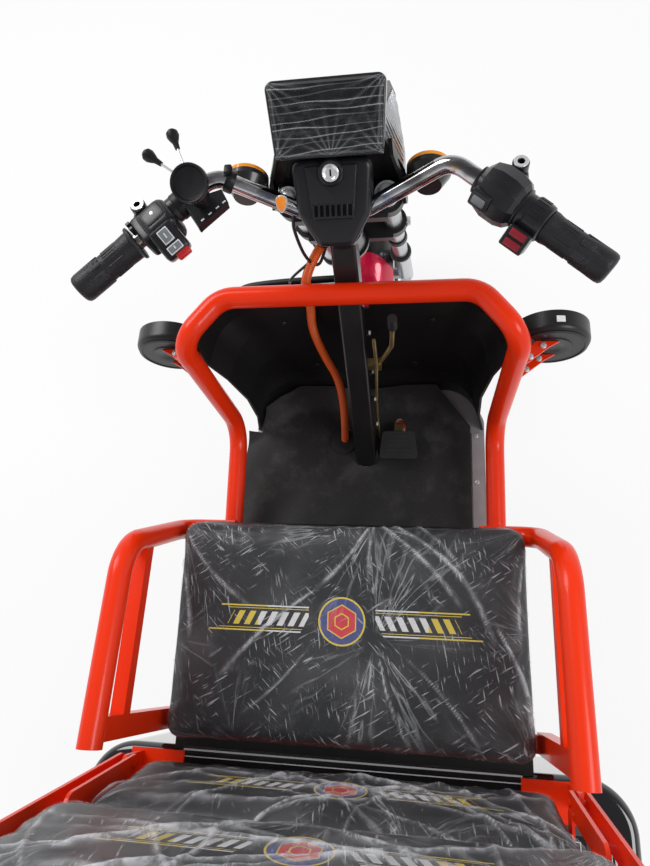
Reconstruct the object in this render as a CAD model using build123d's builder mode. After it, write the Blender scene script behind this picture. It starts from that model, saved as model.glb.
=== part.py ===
from build123d import *
import os
from math import atan, cos, degrees, radians, sin, tan

# Electric cargo tricycle. Millimetres: +X to the rider's right, +Y forward, +Z up,
# origin on the ground below the middle of the vehicle.

os.makedirs("parts", exist_ok=True)

# ---------------------------------------------------------------- clearances
seat_gap = 0.3            # between painted pieces that rest on each other
running_fit = 0.05        # radial clearance of a shaft in its bearing
swing_gap = 5.0           # least room beside a piece that swings

# ---------------------------------------------------------------- wheels
wheel_radius = 213.0
tyre_width = 80.0
bead_radius = 127.0
bead_width = 54.0
front_axle_y = 822.0
rear_axle_y = -490.0
rear_track_half = 345.0
axle_radius = 8.0

# ---------------------------------------------------------------- steering
rake = 25.0               # degrees that the steering axis leans back
fork_offset = 30.0        # fork tubes ahead of the steering axis
fork_half = 67.0          # half the distance between the fork tubes
fork_length = 672.0       # wheel axle to the top of the fork tubes, along them
stanchion_radius = 14.0
slider_radius = 17.0
slider_top = wheel_radius + 49
brace_ring_height = wheel_radius + 185
stem_radius = 12.5
head_bottom = 535.0       # head tube, from its foot to its top, along the axis
head_top = 632.0
head_radius = 26.0
yoke_thickness = 24.0

# ---------------------------------------------------------------- main frame
rail_x = 190.0            # chassis rails
rail_width = 30.0
rail_top = wheel_radius + 92
rail_height = 40.0
rail_front_y = 430.0
small_tube = 25.0         # square tube of the seat frame
loop_radius = 16.5        # leg-shield loop
hoop_radius = 16.0        # armrest hoops
bumper_radius = 13.0

# ---------------------------------------------------------------- floor
floor_half = 228.0
floor_front_y = 485.0
floor_rear_y = 132.0
floor_thickness = 3.0
mat_left = 262.0          # the mat laps over the left edge of the floor
mat_right = 201.0
mat_thickness = 6.0

# ---------------------------------------------------------------- driver's seat
seat_half = 268.0
seat_front_y = 150.0
seat_rear_y = -174.0
seat_front_z = rail_top + 263      # top of the cushion at its front edge
seat_slope = 0.1512       # rise of the seat per length, towards the front
cushion_thickness = 62.0
pan_thickness = 6.0
seat_hinge_y = 150.0
seat_hinge_z = seat_front_z - 74
hoop_x = 292.0
hoop_top_z = seat_front_z + 123
hoop_rear_y = -172.0

# ---------------------------------------------------------------- rear pads
fold_y = -212.0           # pivot that both rear pads share
pad_recline = 7.6         # degrees that the pads lean back
lower_pad_half = 303.0
upper_pad_half = 325.0
lower_pad_top = 178.0     # distances along the bars, from the pivot
upper_pad_bottom = 193.0
upper_pad_top = 405.0
bar_width = 30.0
bar_thickness = 5.0
fold_pin_radius = 5.0
ear_thickness = 6.0

# ---------------------------------------------------------------- cargo box and fenders
box_half = 254.0
box_front_y = -235.0
box_rear_y = -1000.0
box_floor_z = rail_top + seat_gap
fender_top_z = 2 * wheel_radius + 36
box_top_z = fender_top_z + 4
fold_z = fender_top_z + 58
sheet = 3.0
fender_half = 408.0       # to the outside of the rear fenders
fender_front_y = -187.0
fender_corner = 72.0
fender_low_z = wheel_radius + 23
tailgate_thickness = 14.0
tailgate_axis_y = box_rear_y - 13
tailgate_axis_z = rail_top - 2
rail_rear_y = box_rear_y + 15
bumper_y = box_rear_y - 22
bumper_z = rail_top - 27


def tube(points, bends, outer):
    """A round bar along straight runs joined by bends."""
    with BuildPart() as bar:
        with BuildLine() as route:
            FilletPolyline(*points, radius=bends)
        start = route.line @ 0
        with BuildSketch(Plane(origin=start, z_dir=route.line % 0)):
            Circle(outer)
        sweep(path=route.line)
    return bar.part


def save(piece, name):
    """Label a finished piece and write it out."""
    piece.label = name
    export_step(piece, f"parts/{name}.step")


def flip(point):
    """The same point on the other side of the vehicle."""
    return Vector(-point.X, point.Y, point.Z)


def seat_line_z(y):
    """Height of the seat pan's underside at a place along the vehicle."""
    return seat_front_z - cushion_thickness - pan_thickness - seat_slope * (seat_front_y - y)


# Steering plane: x across, y forward and up at right angles to the axis, z up along the axis.
lean = radians(rake)
axle_point = Vector(0, front_axle_y, wheel_radius)
forward_of_axis = Vector(0, cos(lean), sin(lean))
steer_origin = axle_point - forward_of_axis * fork_offset
steer_up = Vector(0, -sin(lean), cos(lean))
steer = Plane(origin=steer_origin, x_dir=(1, 0, 0), z_dir=steer_up)


def steer_at(height):
    """The steering plane moved up along the axis."""
    return steer.offset(height)


# ================================================================ wheels
rim_outer = bead_radius - 0.2
rim_well = rim_outer - 16
rim_lip = bead_radius + 9
hub_radius = 34.0
hub_half = 38.0
spoke_count = 6


def tyre_solid(centre):
    """A scooter tyre turned about its axle."""
    shoulder_x = tyre_width * 0.39
    shoulder_r = wheel_radius - 13
    wall_r = (bead_radius + wheel_radius) / 2
    bead_top = rim_lip + 1
    with BuildPart() as tyre:
        with BuildSketch(Plane(origin=centre, x_dir=(1, 0, 0), z_dir=(0, -1, 0))):
            with BuildLine():
                Line((-bead_width / 2, bead_radius), (bead_width / 2, bead_radius))
                Line((bead_width / 2, bead_radius), (bead_width / 2, bead_top))
                ThreePointArc(
                    (bead_width / 2, bead_top), (tyre_width / 2, wall_r), (shoulder_x, shoulder_r)
                )
                ThreePointArc((shoulder_x, shoulder_r), (0, wheel_radius), (-shoulder_x, shoulder_r))
                ThreePointArc(
                    (-shoulder_x, shoulder_r), (-tyre_width / 2, wall_r), (-bead_width / 2, bead_top)
                )
                Line((-bead_width / 2, bead_top), (-bead_width / 2, bead_radius))
            make_face()
        revolve(axis=Axis(centre, (1, 0, 0)))
    return tyre.part


def rim_solid(centre, hub_bore, drum_radius, drum_side):
    """A cast rim with spokes, its hub and a brake drum on one side."""
    across = Plane(origin=centre, x_dir=(1, 0, 0), z_dir=(0, -1, 0))
    wheel_plane = Plane(origin=centre, x_dir=(0, 1, 0), z_dir=(1, 0, 0))
    with BuildPart() as rim:
        with BuildSketch(across):
            with BuildLine():
                Polyline(
                    (-bead_width / 2 - 4, rim_lip), (-bead_width / 2 - 0.2, rim_lip),
                    (-bead_width / 2 - 0.2, rim_outer), (-14, rim_outer - 2), (-10, rim_well),
                    (10, rim_well), (14, rim_outer - 2), (bead_width / 2 + 0.2, rim_outer),
                    (bead_width / 2 + 0.2, rim_lip), (bead_width / 2 + 4, rim_lip),
                    (bead_width / 2 + 4, rim_outer - 5), (16, rim_outer - 7), (13, rim_well - 5),
                    (-13, rim_well - 5), (-16, rim_outer - 7), (-bead_width / 2 - 4, rim_outer - 5),
                    close=True,
                )
            make_face()
        revolve(axis=Axis(centre, (1, 0, 0)))
        with BuildSketch(wheel_plane):
            Circle(hub_radius)
        extrude(amount=hub_half, both=True)
        with BuildSketch(wheel_plane):
            with PolarLocations(0, spoke_count):
                with Locations((0, (hub_radius + rim_well) / 2 - 4)):
                    Trapezoid(26, rim_well - hub_radius + 4, 83)
        extrude(amount=9, both=True)
        with BuildSketch(wheel_plane.offset(drum_side * 12)):
            Circle(drum_radius)
        extrude(amount=drum_side * (hub_half - 12))
        with BuildSketch(wheel_plane):
            Circle(hub_bore)
        extrude(amount=hub_half + 1, both=True, mode=Mode.SUBTRACT)
    return rim.part


front_centre = (0, front_axle_y, wheel_radius)
save(tyre_solid(front_centre), "front_tyre")
save(rim_solid(front_centre, axle_radius + running_fit, 52, 1), "front_rim")
for side, word in ((-1, "left"), (1, "right")):
    rear_centre = (side * rear_track_half, rear_axle_y, wheel_radius)
    save(tyre_solid(rear_centre), f"rear_tyre_{word}")
    save(rim_solid(rear_centre, axle_radius + 2 + running_fit, 72, -side), f"rear_rim_{word}")

# ================================================================ fork
yoke_low = head_bottom - 5 - yoke_thickness
yoke_high = head_top + 5


bar_centre = Vector(0, 512, wheel_radius + 615)
riser_foot_z = bar_centre.Z - 42
bar_radius = 11.0
clamp_x = 20.0
clamp_radius = 14.5
yoke_half = fork_half + stanchion_radius + 7

with BuildPart() as fork_yoke:
    for height in (yoke_low, yoke_high):
        with BuildSketch(steer_at(height)) as clamp_sketch:
            with Locations((fork_half, fork_offset), (-fork_half, fork_offset)):
                Circle(stanchion_radius + 7)
            with Locations((0, fork_offset * 0.62)):
                Rectangle(2 * fork_half, 30)
            Circle(stem_radius + 10)
        extrude(amount=yoke_thickness)
    with BuildSketch(steer_at(yoke_low)):
        Circle(stem_radius)
    extrude(amount=yoke_high + yoke_thickness - yoke_low)
    for side in (-1, 1):
        with BuildSketch(Plane.YZ.offset(side * clamp_x - 9)):
            with Locations((bar_centre.Y, bar_centre.Z)):
                Circle(clamp_radius)
            with Locations((bar_centre.Y + 2, (bar_centre.Z + riser_foot_z) / 2)):
                Rectangle(24, bar_centre.Z - riser_foot_z)
        extrude(amount=18)
    with BuildSketch(Plane.YZ.offset(-clamp_x - 12)):
        with Locations((bar_centre.Y, bar_centre.Z)):
            Circle(bar_radius + 0.1)
    extrude(amount=2 * clamp_x + 24, mode=Mode.SUBTRACT)
    with BuildSketch(steer_at(yoke_low - 1)):
        with Locations((fork_half, fork_offset), (-fork_half, fork_offset)):
            Circle(stanchion_radius + 0.1)
    extrude(amount=yoke_high + yoke_thickness - yoke_low + 2, mode=Mode.SUBTRACT)
save(fork_yoke.part, "fork_yoke")

with BuildPart() as fork_legs:
    with BuildSketch(steer_at(slider_top - 30)):
        with Locations((fork_half, fork_offset), (-fork_half, fork_offset)):
            Circle(stanchion_radius)
    extrude(amount=fork_length - slider_top + 30)
    with BuildSketch(steer_at(-24)):
        with Locations((fork_half, fork_offset), (-fork_half, fork_offset)):
            Circle(slider_radius)
    extrude(amount=slider_top + 24)
    brace_ring_radius = 17.5
    for height, ring_radius, ring_height in ((slider_top - 9, 20.5, 14), (brace_ring_height, brace_ring_radius, 7)):
        with BuildSketch(steer_at(height)):
            with Locations((fork_half, fork_offset), (-fork_half, fork_offset)):
                Circle(ring_radius)
        extrude(amount=ring_height)
    with BuildSketch(steer_at(fork_length)):
        with Locations((fork_half, fork_offset), (-fork_half, fork_offset)):
            Circle(stanchion_radius + 1)
    extrude(amount=5, taper=30)
    for side in (-1, 1):
        with BuildSketch(Plane.YZ.offset(side * fork_half - 12)):
            with Locations((front_axle_y, wheel_radius)):
                Circle(21)
        extrude(amount=24)
        with BuildSketch(Plane.YZ.offset(side * (hub_half + seat_gap))):
            with Locations((front_axle_y, wheel_radius)):
                Circle(13)
        extrude(amount=side * (fork_half - hub_half - seat_gap))
    with BuildSketch(Plane.YZ.offset(-fork_half)):
        with Locations((front_axle_y, wheel_radius)):
            Circle(axle_radius)
    extrude(amount=2 * fork_half)
save(fork_legs.part, "fork_legs")

brace_low = brace_ring_height - 20
brace_high = yoke_low - seat_gap
brace_half = fork_half - brace_ring_radius - seat_gap
brace_plane = Plane(origin=steer_origin + forward_of_axis * fork_offset, x_dir=(1, 0, 0),
                    z_dir=-forward_of_axis)
with BuildPart() as fender_brace:
    with BuildSketch(brace_plane):
        with Locations((0, (brace_low + brace_high) / 2)):
            Rectangle(2 * brace_half, brace_high - brace_low)
        with Locations((30, brace_low), (-30, brace_low)):
            SlotOverall(84, 36, rotation=90, mode=Mode.SUBTRACT)
        with Locations((28, brace_high - 34), (-28, brace_high - 34)):
            SlotOverall(34, 22, rotation=90, mode=Mode.SUBTRACT)
    extrude(amount=3, both=True)
save(fender_brace.part, "fender_brace")

# ================================================================ handlebar and what it carries
bend_right = Vector(150, 527, bar_centre.Z + 62)
end_right = Vector(328, 383, bar_centre.Z + 29)
bar_inner = Vector(40, bar_centre.Y, bar_centre.Z)
grip_length = 116.0
grip_radius = 17.5
along_grip = (bend_right - end_right).normalized()
bar_stop = end_right + along_grip * 6

handlebar = tube(
    [flip(bar_stop), flip(bend_right), flip(bar_inner), bar_inner, bend_right, bar_stop],
    [34, 26, 26, 34],
    bar_radius,
)
save(handlebar, "handlebar")

grip_bore = bar_radius + 0.1
for side, word in ((-1, "left"), (1, "right")):
    end = Vector(side * end_right.X, end_right.Y, end_right.Z)
    inward = Vector(side * along_grip.X, along_grip.Y, along_grip.Z)
    grip_plane = Plane(origin=end, z_dir=inward)
    with BuildPart() as grip:
        with BuildSketch(grip_plane):
            Circle(grip_radius + 1)
        extrude(amount=5)
        with BuildSketch(grip_plane.offset(5)):
            Circle(grip_radius)
        extrude(amount=grip_length - 11)
        with BuildSketch(grip_plane.offset(grip_length - 6)):
            Circle(grip_radius + 5)
        extrude(amount=6)
        with BuildSketch(grip_plane.offset(4)):
            Circle(grip_bore)
        extrude(amount=grip_length, mode=Mode.SUBTRACT)
    save(grip.part, f"grip_{word}")

    pod_plane = Plane(origin=end, x_dir=(0, 0, 1), z_dir=inward)
    pod_start = grip_length + 1
    pod_length = 38.0
    mirror_thread = 4.0
    with BuildPart() as pod:
        with BuildSketch(pod_plane.offset(pod_start)):
            RectangleRounded(46, 44, 12)
        extrude(amount=pod_length)
        with BuildSketch(pod_plane.offset(pod_start + 6)):
            with Locations((24, 0)):
                RectangleRounded(16, 26, 5)
        extrude(amount=pod_length - 12)
        boss = end + inward * (pod_start + pod_length / 2)
        mirror_foot = Vector(boss.X, boss.Y + 26, boss.Z + 6)
        with BuildSketch(Plane(origin=mirror_foot, z_dir=(0, 0, 1))):
            Circle(9)
        extrude(amount=20)
        with BuildSketch(Plane(origin=mirror_foot, z_dir=(0, 0, 1)).offset(-8)):
            Circle(8)
        extrude(amount=10)
        with BuildSketch(Plane(origin=mirror_foot, z_dir=(0, 0, 1)).offset(20)):
            Circle(mirror_thread)
        extrude(amount=-16, mode=Mode.SUBTRACT)
        with BuildSketch(pod_plane.offset(pod_start - 1)):
            Circle(grip_bore)
        extrude(amount=pod_length + 2, mode=Mode.SUBTRACT)
    save(pod.part, f"switch_pod_{word}")

# ================================================================ lock cover
cover_top = Vector(0, 540, bar_centre.Z + 65)
cover_bottom = Vector(0, 465, bar_centre.Z - 15)
cover_rise = cover_top - cover_bottom
cover_length = cover_rise.length
cover_up = cover_rise.normalized()
cover_face_normal = Vector(0, -cover_up.Z, cover_up.Y)
cover_middle = (cover_top + cover_bottom) * 0.5
cover_depth = 28.0
cover_face = Plane(origin=cover_middle, x_dir=(1, 0, 0), z_dir=cover_face_normal)
cover_half = 53.0
vent_count = 7

with BuildPart() as lock_cover:
    with BuildSketch(cover_face.offset(-cover_depth)):
        with BuildLine():
            Polyline(
                (-cover_half, cover_length / 2), (cover_half, cover_length / 2), (cover_half, -8),
                (cover_half - 22, -cover_length / 2), (22 - cover_half, -cover_length / 2),
                (-cover_half, -8), close=True,
            )
        make_face()
        fillet(vertices(), 9)
    extrude(amount=cover_depth)
    fillet(faces().sort_by(Axis(cover_middle, cover_face_normal))[-1].edges(), 5)
    back = faces().sort_by(Axis(cover_middle, cover_face_normal))[0]
    offset(amount=-3, openings=back)
    with BuildSketch(cover_face):
        with Locations((0, 4)):
            RectangleRounded(74, 74, 8)
    extrude(amount=2.5)
    with BuildSketch(cover_face.offset(2)):
        with Locations((0, 24)):
            Circle(14)
    extrude(amount=5)
    with BuildSketch(cover_face.offset(-4)):
        with Locations((0, 24)):
            Circle(8)
    extrude(amount=12)
    with BuildSketch(cover_face.offset(3)):
        with Locations((0, -14)):
            with GridLocations(7, 0, vent_count, 1):
                Rectangle(2.6, 15)
    extrude(amount=-7, mode=Mode.SUBTRACT)
    with BuildSketch(Plane.YZ.offset(-cover_half - 2)):
        with Locations((bar_centre.Y, bar_centre.Z + 5)):
            Circle(bar_radius + 7)
    extrude(amount=2 * cover_half + 4, mode=Mode.SUBTRACT)
    bar_below_face = (bar_centre - cover_middle).dot(cover_face_normal)
    bar_up_face = (bar_centre - cover_middle).dot(cover_up)
    with BuildSketch(cover_face.offset(bar_below_face + clamp_radius + seat_gap)):
        with Locations((clamp_x, bar_up_face), (-clamp_x, bar_up_face)):
            Circle(5)
    extrude(amount=-2 - bar_below_face - clamp_radius - seat_gap)
save(lock_cover.part, "lock_cover")

# ================================================================ display and lamp nacelle
display_top = Vector(0, 593, bar_centre.Z + 139)
display_bottom = Vector(0, 530, bar_centre.Z + 77)
display_rise = display_top - display_bottom
display_up = display_rise.normalized()
display_normal = Vector(0, -display_up.Z, display_up.Y)
display_middle = (display_top + display_bottom) * 0.5
display_thickness = 18.0
display_face = Plane(origin=display_middle, x_dir=(1, 0, 0), z_dir=display_normal)

with BuildPart() as display:
    with BuildSketch(display_face.offset(-display_thickness)):
        with BuildLine():
            Polyline(
                (-74, display_rise.length / 2), (74, display_rise.length / 2),
                (68, -display_rise.length / 2), (-68, -display_rise.length / 2), close=True,
            )
        make_face()
        fillet(vertices(), 10)
    extrude(amount=display_thickness)
    fillet(faces().sort_by(Axis(display_middle, display_normal))[-1].edges(), 2.5)
save(display.part, "display")

nacelle_half = yoke_half + 0.6
rib_count = 11
nacelle_rear_y = 562.0
nacelle_front_y = 694.0
display_back = display_bottom - display_normal * display_thickness
nacelle_slope = display_up.Z / display_up.Y


def display_back_z(y):
    """Height of the display's back face at a place along the vehicle."""
    return display_back.Z + nacelle_slope * (y - display_back.Y) - seat_gap / display_up.Y


lens_half = 68.0
lens_height = 70.0
lens_z = bar_centre.Z - 8

with BuildPart() as lamp_nacelle:
    with BuildSketch(Plane.YZ.offset(-nacelle_half)):
        with BuildLine():
            Polyline(
                (nacelle_rear_y, lens_z + 7), (nacelle_rear_y, display_back_z(nacelle_rear_y)),
                (586, display_back_z(586)), (650, lens_z + 84), (nacelle_front_y, lens_z + 44),
                (nacelle_front_y, lens_z - 44), (640, lens_z - 38), (602, lens_z - 27), (580, lens_z - 14),
                close=True,
            )
        make_face()
    extrude(amount=2 * nacelle_half)
    fillet(edges().filter_by(Axis.X).group_by(Axis.Y)[-1], 14)
    rib_pitch = (nacelle_front_y - nacelle_rear_y - 44) / (rib_count - 1)
    for side in (-1, 1):
        with BuildSketch(Plane.YZ.offset(side * nacelle_half)):
            for index in range(rib_count):
                with Locations((nacelle_rear_y + 18 + index * rib_pitch, lens_z + 42 - index * 4)):
                    Rectangle(4.5, 78)
        extrude(amount=side * 5)
        with BuildSketch(Plane.YZ.offset(side * (yoke_half + seat_gap))):
            with BuildLine():
                Polyline(
                    (520, lens_z - 28), (572, lens_z - 20), (nacelle_rear_y + 12, lens_z + 68),
                    (548, lens_z + 56), (537, lens_z + 28), (520, lens_z + 8), close=True,
                )
            make_face()
            with Locations((553, lens_z + 22)):
                SlotOverall(46, 13, rotation=82, mode=Mode.SUBTRACT)
        extrude(amount=side * 4)
    with BuildSketch(Plane.XZ.offset(-nacelle_front_y - 1)):
        with Locations((0, lens_z)):
            RectangleRounded(2 * lens_half, lens_height, 22)
    extrude(amount=19, mode=Mode.SUBTRACT)
save(lamp_nacelle.part, "lamp_nacelle")

with BuildPart() as headlamp_lens:
    with BuildSketch(Plane.XZ.offset(-nacelle_front_y + 17)):
        with Locations((0, lens_z)):
            RectangleRounded(2 * lens_half - 0.6, lens_height - 0.6, 21.7)
    extrude(amount=-21)
    fillet(faces().sort_by(Axis.Y)[-1].edges(), 4)
save(headlamp_lens.part, "headlamp_lens")

# ================================================================ front turn signals
signal_point = Vector(122, 545, bar_centre.Z + 16)
signal_radius = 29.0

with BuildPart() as front_signals:
    for side in (-1, 1):
        centre = Vector(side * signal_point.X, signal_point.Y, signal_point.Z)
        with BuildSketch(Plane(origin=centre, x_dir=(1, 0, 0), z_dir=(0, -1, 0)).offset(-16)):
            Circle(signal_radius)
        extrude(amount=12)
        with BuildSketch(Plane(origin=centre, x_dir=(1, 0, 0), z_dir=(0, -1, 0)).offset(-4)):
            Circle(signal_radius)
        extrude(amount=20, taper=32)
        with BuildSketch(Plane.YZ.offset(side * (yoke_half + 4 + 2 * seat_gap))):
            with Locations((signal_point.Y, signal_point.Z)):
                Circle(6)
        extrude(amount=side * (signal_point.X - yoke_half - 4))
save(front_signals.part, "front_signals")

# ================================================================ front fender
fender_radius = wheel_radius + 40
fender_half_width = fork_half - slider_radius - seat_gap
fender_wall = 3.0
with BuildPart() as front_fender:
    start_angle = -62
    arc_plane = Plane(
        origin=front_centre,
        x_dir=(1, 0, 0),
        z_dir=(0, -cos(radians(start_angle)), -sin(radians(start_angle))),
    )
    with BuildSketch(arc_plane):
        with BuildLine():
            ThreePointArc(
                (-fender_half_width, fender_radius - 30), (0, fender_radius),
                (fender_half_width, fender_radius - 30),
            )
            Line(
                (fender_half_width, fender_radius - 30),
                (fender_half_width - fender_wall, fender_radius - 31),
            )
            ThreePointArc(
                (fender_half_width - fender_wall, fender_radius - 31), (0, fender_radius - fender_wall),
                (fender_wall - fender_half_width, fender_radius - 31),
            )
            Line(
                (fender_wall - fender_half_width, fender_radius - 31),
                (-fender_half_width, fender_radius - 30),
            )
        make_face()
    revolve(axis=Axis(front_centre, (1, 0, 0)), revolution_arc=150)
    for side in (-1, 1):
        with BuildSketch(Plane.YZ.offset(side * fender_half_width)):
            with Locations(
                (front_axle_y - (fender_radius - 38) * sin(lean), wheel_radius + (fender_radius - 38) * cos(lean))
            ):
                Circle(13)
        extrude(amount=side * -fender_wall)
save(front_fender.part, "front_fender")

# ================================================================ down tube and head tube
post_width = 38.0
post_foot = Vector(0, 339, rail_top + floor_thickness + mat_thickness + 1)
post_lean = 23.2          # degrees that the down tube leans forward
post_end_z = bar_centre.Z - 76
post_dir = Vector(0, sin(radians(post_lean)), cos(radians(post_lean)))
post_length = (post_end_z - post_foot.Z) / post_dir.Z
foot_z = rail_top + floor_thickness + seat_gap

with BuildPart() as down_tube:
    with BuildSketch(Plane(origin=post_foot, x_dir=(1, 0, 0), z_dir=post_dir).offset(-20)):
        RectangleRounded(post_width, post_width, 5)
    extrude(amount=post_length + 20)
    with Locations((0, post_foot.Y, foot_z - 50)):
        Box(2 * post_width, 3 * post_width, 100, mode=Mode.SUBTRACT)
    with BuildSketch(steer_at(head_bottom)):
        Circle(head_radius)
    extrude(amount=head_top - head_bottom)
    with BuildSketch(steer_at(head_bottom - 4)):
        Circle(head_radius + 4)
    extrude(amount=12)
    with BuildSketch(steer_at(head_top - 8)):
        Circle(head_radius + 4)
    extrude(amount=12)
    with BuildSketch(steer_at(head_bottom - 5)):
        Circle(stem_radius + running_fit)
    extrude(amount=head_top - head_bottom + 10, mode=Mode.SUBTRACT)
save(down_tube.part, "down_tube")

# ================================================================ main frame
cross_ys = (416.0, 250.0, 60.0, -90.0, -300.0, -660.0, rail_rear_y + 15)
cross_size = 28.0
cross_top_z = rail_top - 9
leg_front_y = 118.0
leg_rear_y = -140.0
outrigger_y = -150.0
pedal_x = 64.0
pedal_axis_y = 393.0
pedal_axis_z = rail_top - 21
leaf_half_span = 200.0

with BuildPart() as main_frame:
    rail_middle_y = (rail_front_y + rail_rear_y) / 2
    with Locations((rail_x, rail_middle_y, rail_top - rail_height / 2),
                   (-rail_x, rail_middle_y, rail_top - rail_height / 2)):
        Box(rail_width, rail_front_y - rail_rear_y, rail_height)
    with Locations(*[(0, y, cross_top_z - cross_size / 2) for y in cross_ys]):
        Box(2 * rail_x, cross_size, cross_size)
    for side in (-1, 1):
        for leg_y in (leg_front_y, leg_rear_y):
            leg_high = seat_line_z(leg_y) - 14
            with Locations((side * rail_x, leg_y, (rail_top + leg_high) / 2 - 5)):
                Box(small_tube, small_tube, leg_high - rail_top + 10)
        slope_angle = atan(seat_slope)
        rail_run = (leg_front_y + small_tube / 2 + 165) / cos(slope_angle)
        start = Vector(side * rail_x, -165, seat_line_z(-165) - seat_gap - small_tube / 2 / cos(slope_angle))
        with BuildSketch(Plane(origin=start, x_dir=(1, 0, 0), z_dir=(0, cos(slope_angle), sin(slope_angle)))):
            Rectangle(small_tube, small_tube)
        extrude(amount=rail_run)
        outrigger_z = seat_line_z(outrigger_y - small_tube / 2) - seat_gap - small_tube / 2
        outrigger_end = hoop_x - 10 - seat_gap
        with Locations(((side * (rail_x + outrigger_end) / 2), outrigger_y, outrigger_z)):
            Box(outrigger_end - rail_x, small_tube, small_tube)
        for ear_x in (rail_x - 9, rail_x + 9):
            with BuildSketch(Plane.YZ.offset(side * ear_x - 2.5)):
                with Locations((seat_hinge_y, seat_hinge_z)):
                    Circle(8)
                with Locations(((leg_front_y + seat_hinge_y + 8) / 2, seat_line_z(leg_front_y) - 17.5)):
                    Rectangle(seat_hinge_y + 8 - leg_front_y, 33)
            extrude(amount=5)
        with BuildSketch(Plane.YZ.offset(side * rail_x - 11)):
            with Locations((seat_hinge_y, seat_hinge_z)):
                Circle(4)
        extrude(amount=22)
    for ear_x in (pedal_x - 11, pedal_x + 11):
        with BuildSketch(Plane.YZ.offset(ear_x - 2)):
            with Locations((pedal_axis_y, pedal_axis_z)):
                Circle(9)
            with Locations((pedal_axis_y + 8, pedal_axis_z)):
                Rectangle(16, 18)
        extrude(amount=4)
    with BuildSketch(Plane.YZ.offset(pedal_x - 13)):
        with Locations((pedal_axis_y, pedal_axis_z)):
            Circle(4)
    extrude(amount=26)
    bumper = tube(
        [(-rail_x, rail_rear_y + 12, bumper_z), (-rail_x, bumper_y, bumper_z),
         (rail_x, bumper_y, bumper_z), (rail_x, rail_rear_y + 12, bumper_z)],
        [24, 24],
        bumper_radius,
    )
    add(bumper)
save(main_frame.part, "main_frame")

# ================================================================ loop round the leg shield
loop_side_x = 238.0
loop_low = [
    Vector(rail_x + small_tube / 2 + seat_gap, leg_front_y, rail_top + 61),
    Vector(loop_side_x, leg_front_y, rail_top + 61),
    Vector(loop_side_x, 364, rail_top + 96),
    Vector(252, 388, rail_top + 394),
    Vector(194, 462, rail_top + 398),
]
loop_points = loop_low + [flip(point) for point in reversed(loop_low)]
lamp_point = Vector(308, 442, rail_top + 291)
with BuildPart() as front_loop:
    add(tube(loop_points, [22, 60, 42, 46, 46, 42, 60, 22], loop_radius))
    for side in (-1, 1):
        for tab_z in (lamp_point.Z - 22, lamp_point.Z + 22):
            with BuildSketch(Plane.XY.offset(tab_z - 2)):
                with BuildLine():
                    Polyline(
                        (side * 252, 372), (side * 300, 410), (side * 318, 420.5), (side * 282, 420.5),
                        (side * 252, 388), close=True,
                    )
                make_face()
            extrude(amount=4)
save(front_loop.part, "front_loop")

# ================================================================ leg shield
# A moulded bowl between the loop and the floor. Each level is its height, half its width,
# where its side edges lie, and where its front wall lies.
shield_wall = 4.0
shield_corner = 70.0
shield_top_gap = 14.0     # keeps its top corners clear of the loop's bends
shield_low_z = rail_top + seat_gap / 3 + floor_thickness + seat_gap
ledge_z = rail_top + 61
shield_top_z = loop_low[3].Z - loop_radius - shield_top_gap
toe_levels = [(shield_low_z, 226, 392, 482), (ledge_z, 216, 398, 482)]
bowl_levels = [
    (ledge_z, 216, 398, 500), (rail_top + 145, 214, 400, 501), (rail_top + 235, 226, 400, 502),
    (rail_top + 295, 243, 400, 502), (shield_top_z, 239, 404, 502),
]


def shield_level(height, half_width, edge_y, wall_y):
    """Plan of the shield's wall at one level."""
    with BuildSketch(Plane.XY.offset(height)) as level:
        with BuildLine():
            FilletPolyline(
                (-half_width, edge_y), (20 - half_width, wall_y), (half_width - 20, wall_y),
                (half_width, edge_y), radius=shield_corner,
            )
            Line((half_width, edge_y), (half_width - shield_wall, edge_y))
            FilletPolyline(
                (half_width - shield_wall, edge_y), (half_width - 20 - shield_wall, wall_y - shield_wall),
                (20 + shield_wall - half_width, wall_y - shield_wall), (shield_wall - half_width, edge_y),
                radius=shield_corner - shield_wall,
            )
            Line((shield_wall - half_width, edge_y), (-half_width, edge_y))
        make_face()
    return level.sketch


def shield_shell(levels):
    """The wall between levels."""
    with BuildPart() as shell:
        for below, above in zip(levels, levels[1:]):
            loft([shield_level(*below), shield_level(*above)], ruled=True)
    return shell.part


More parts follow.
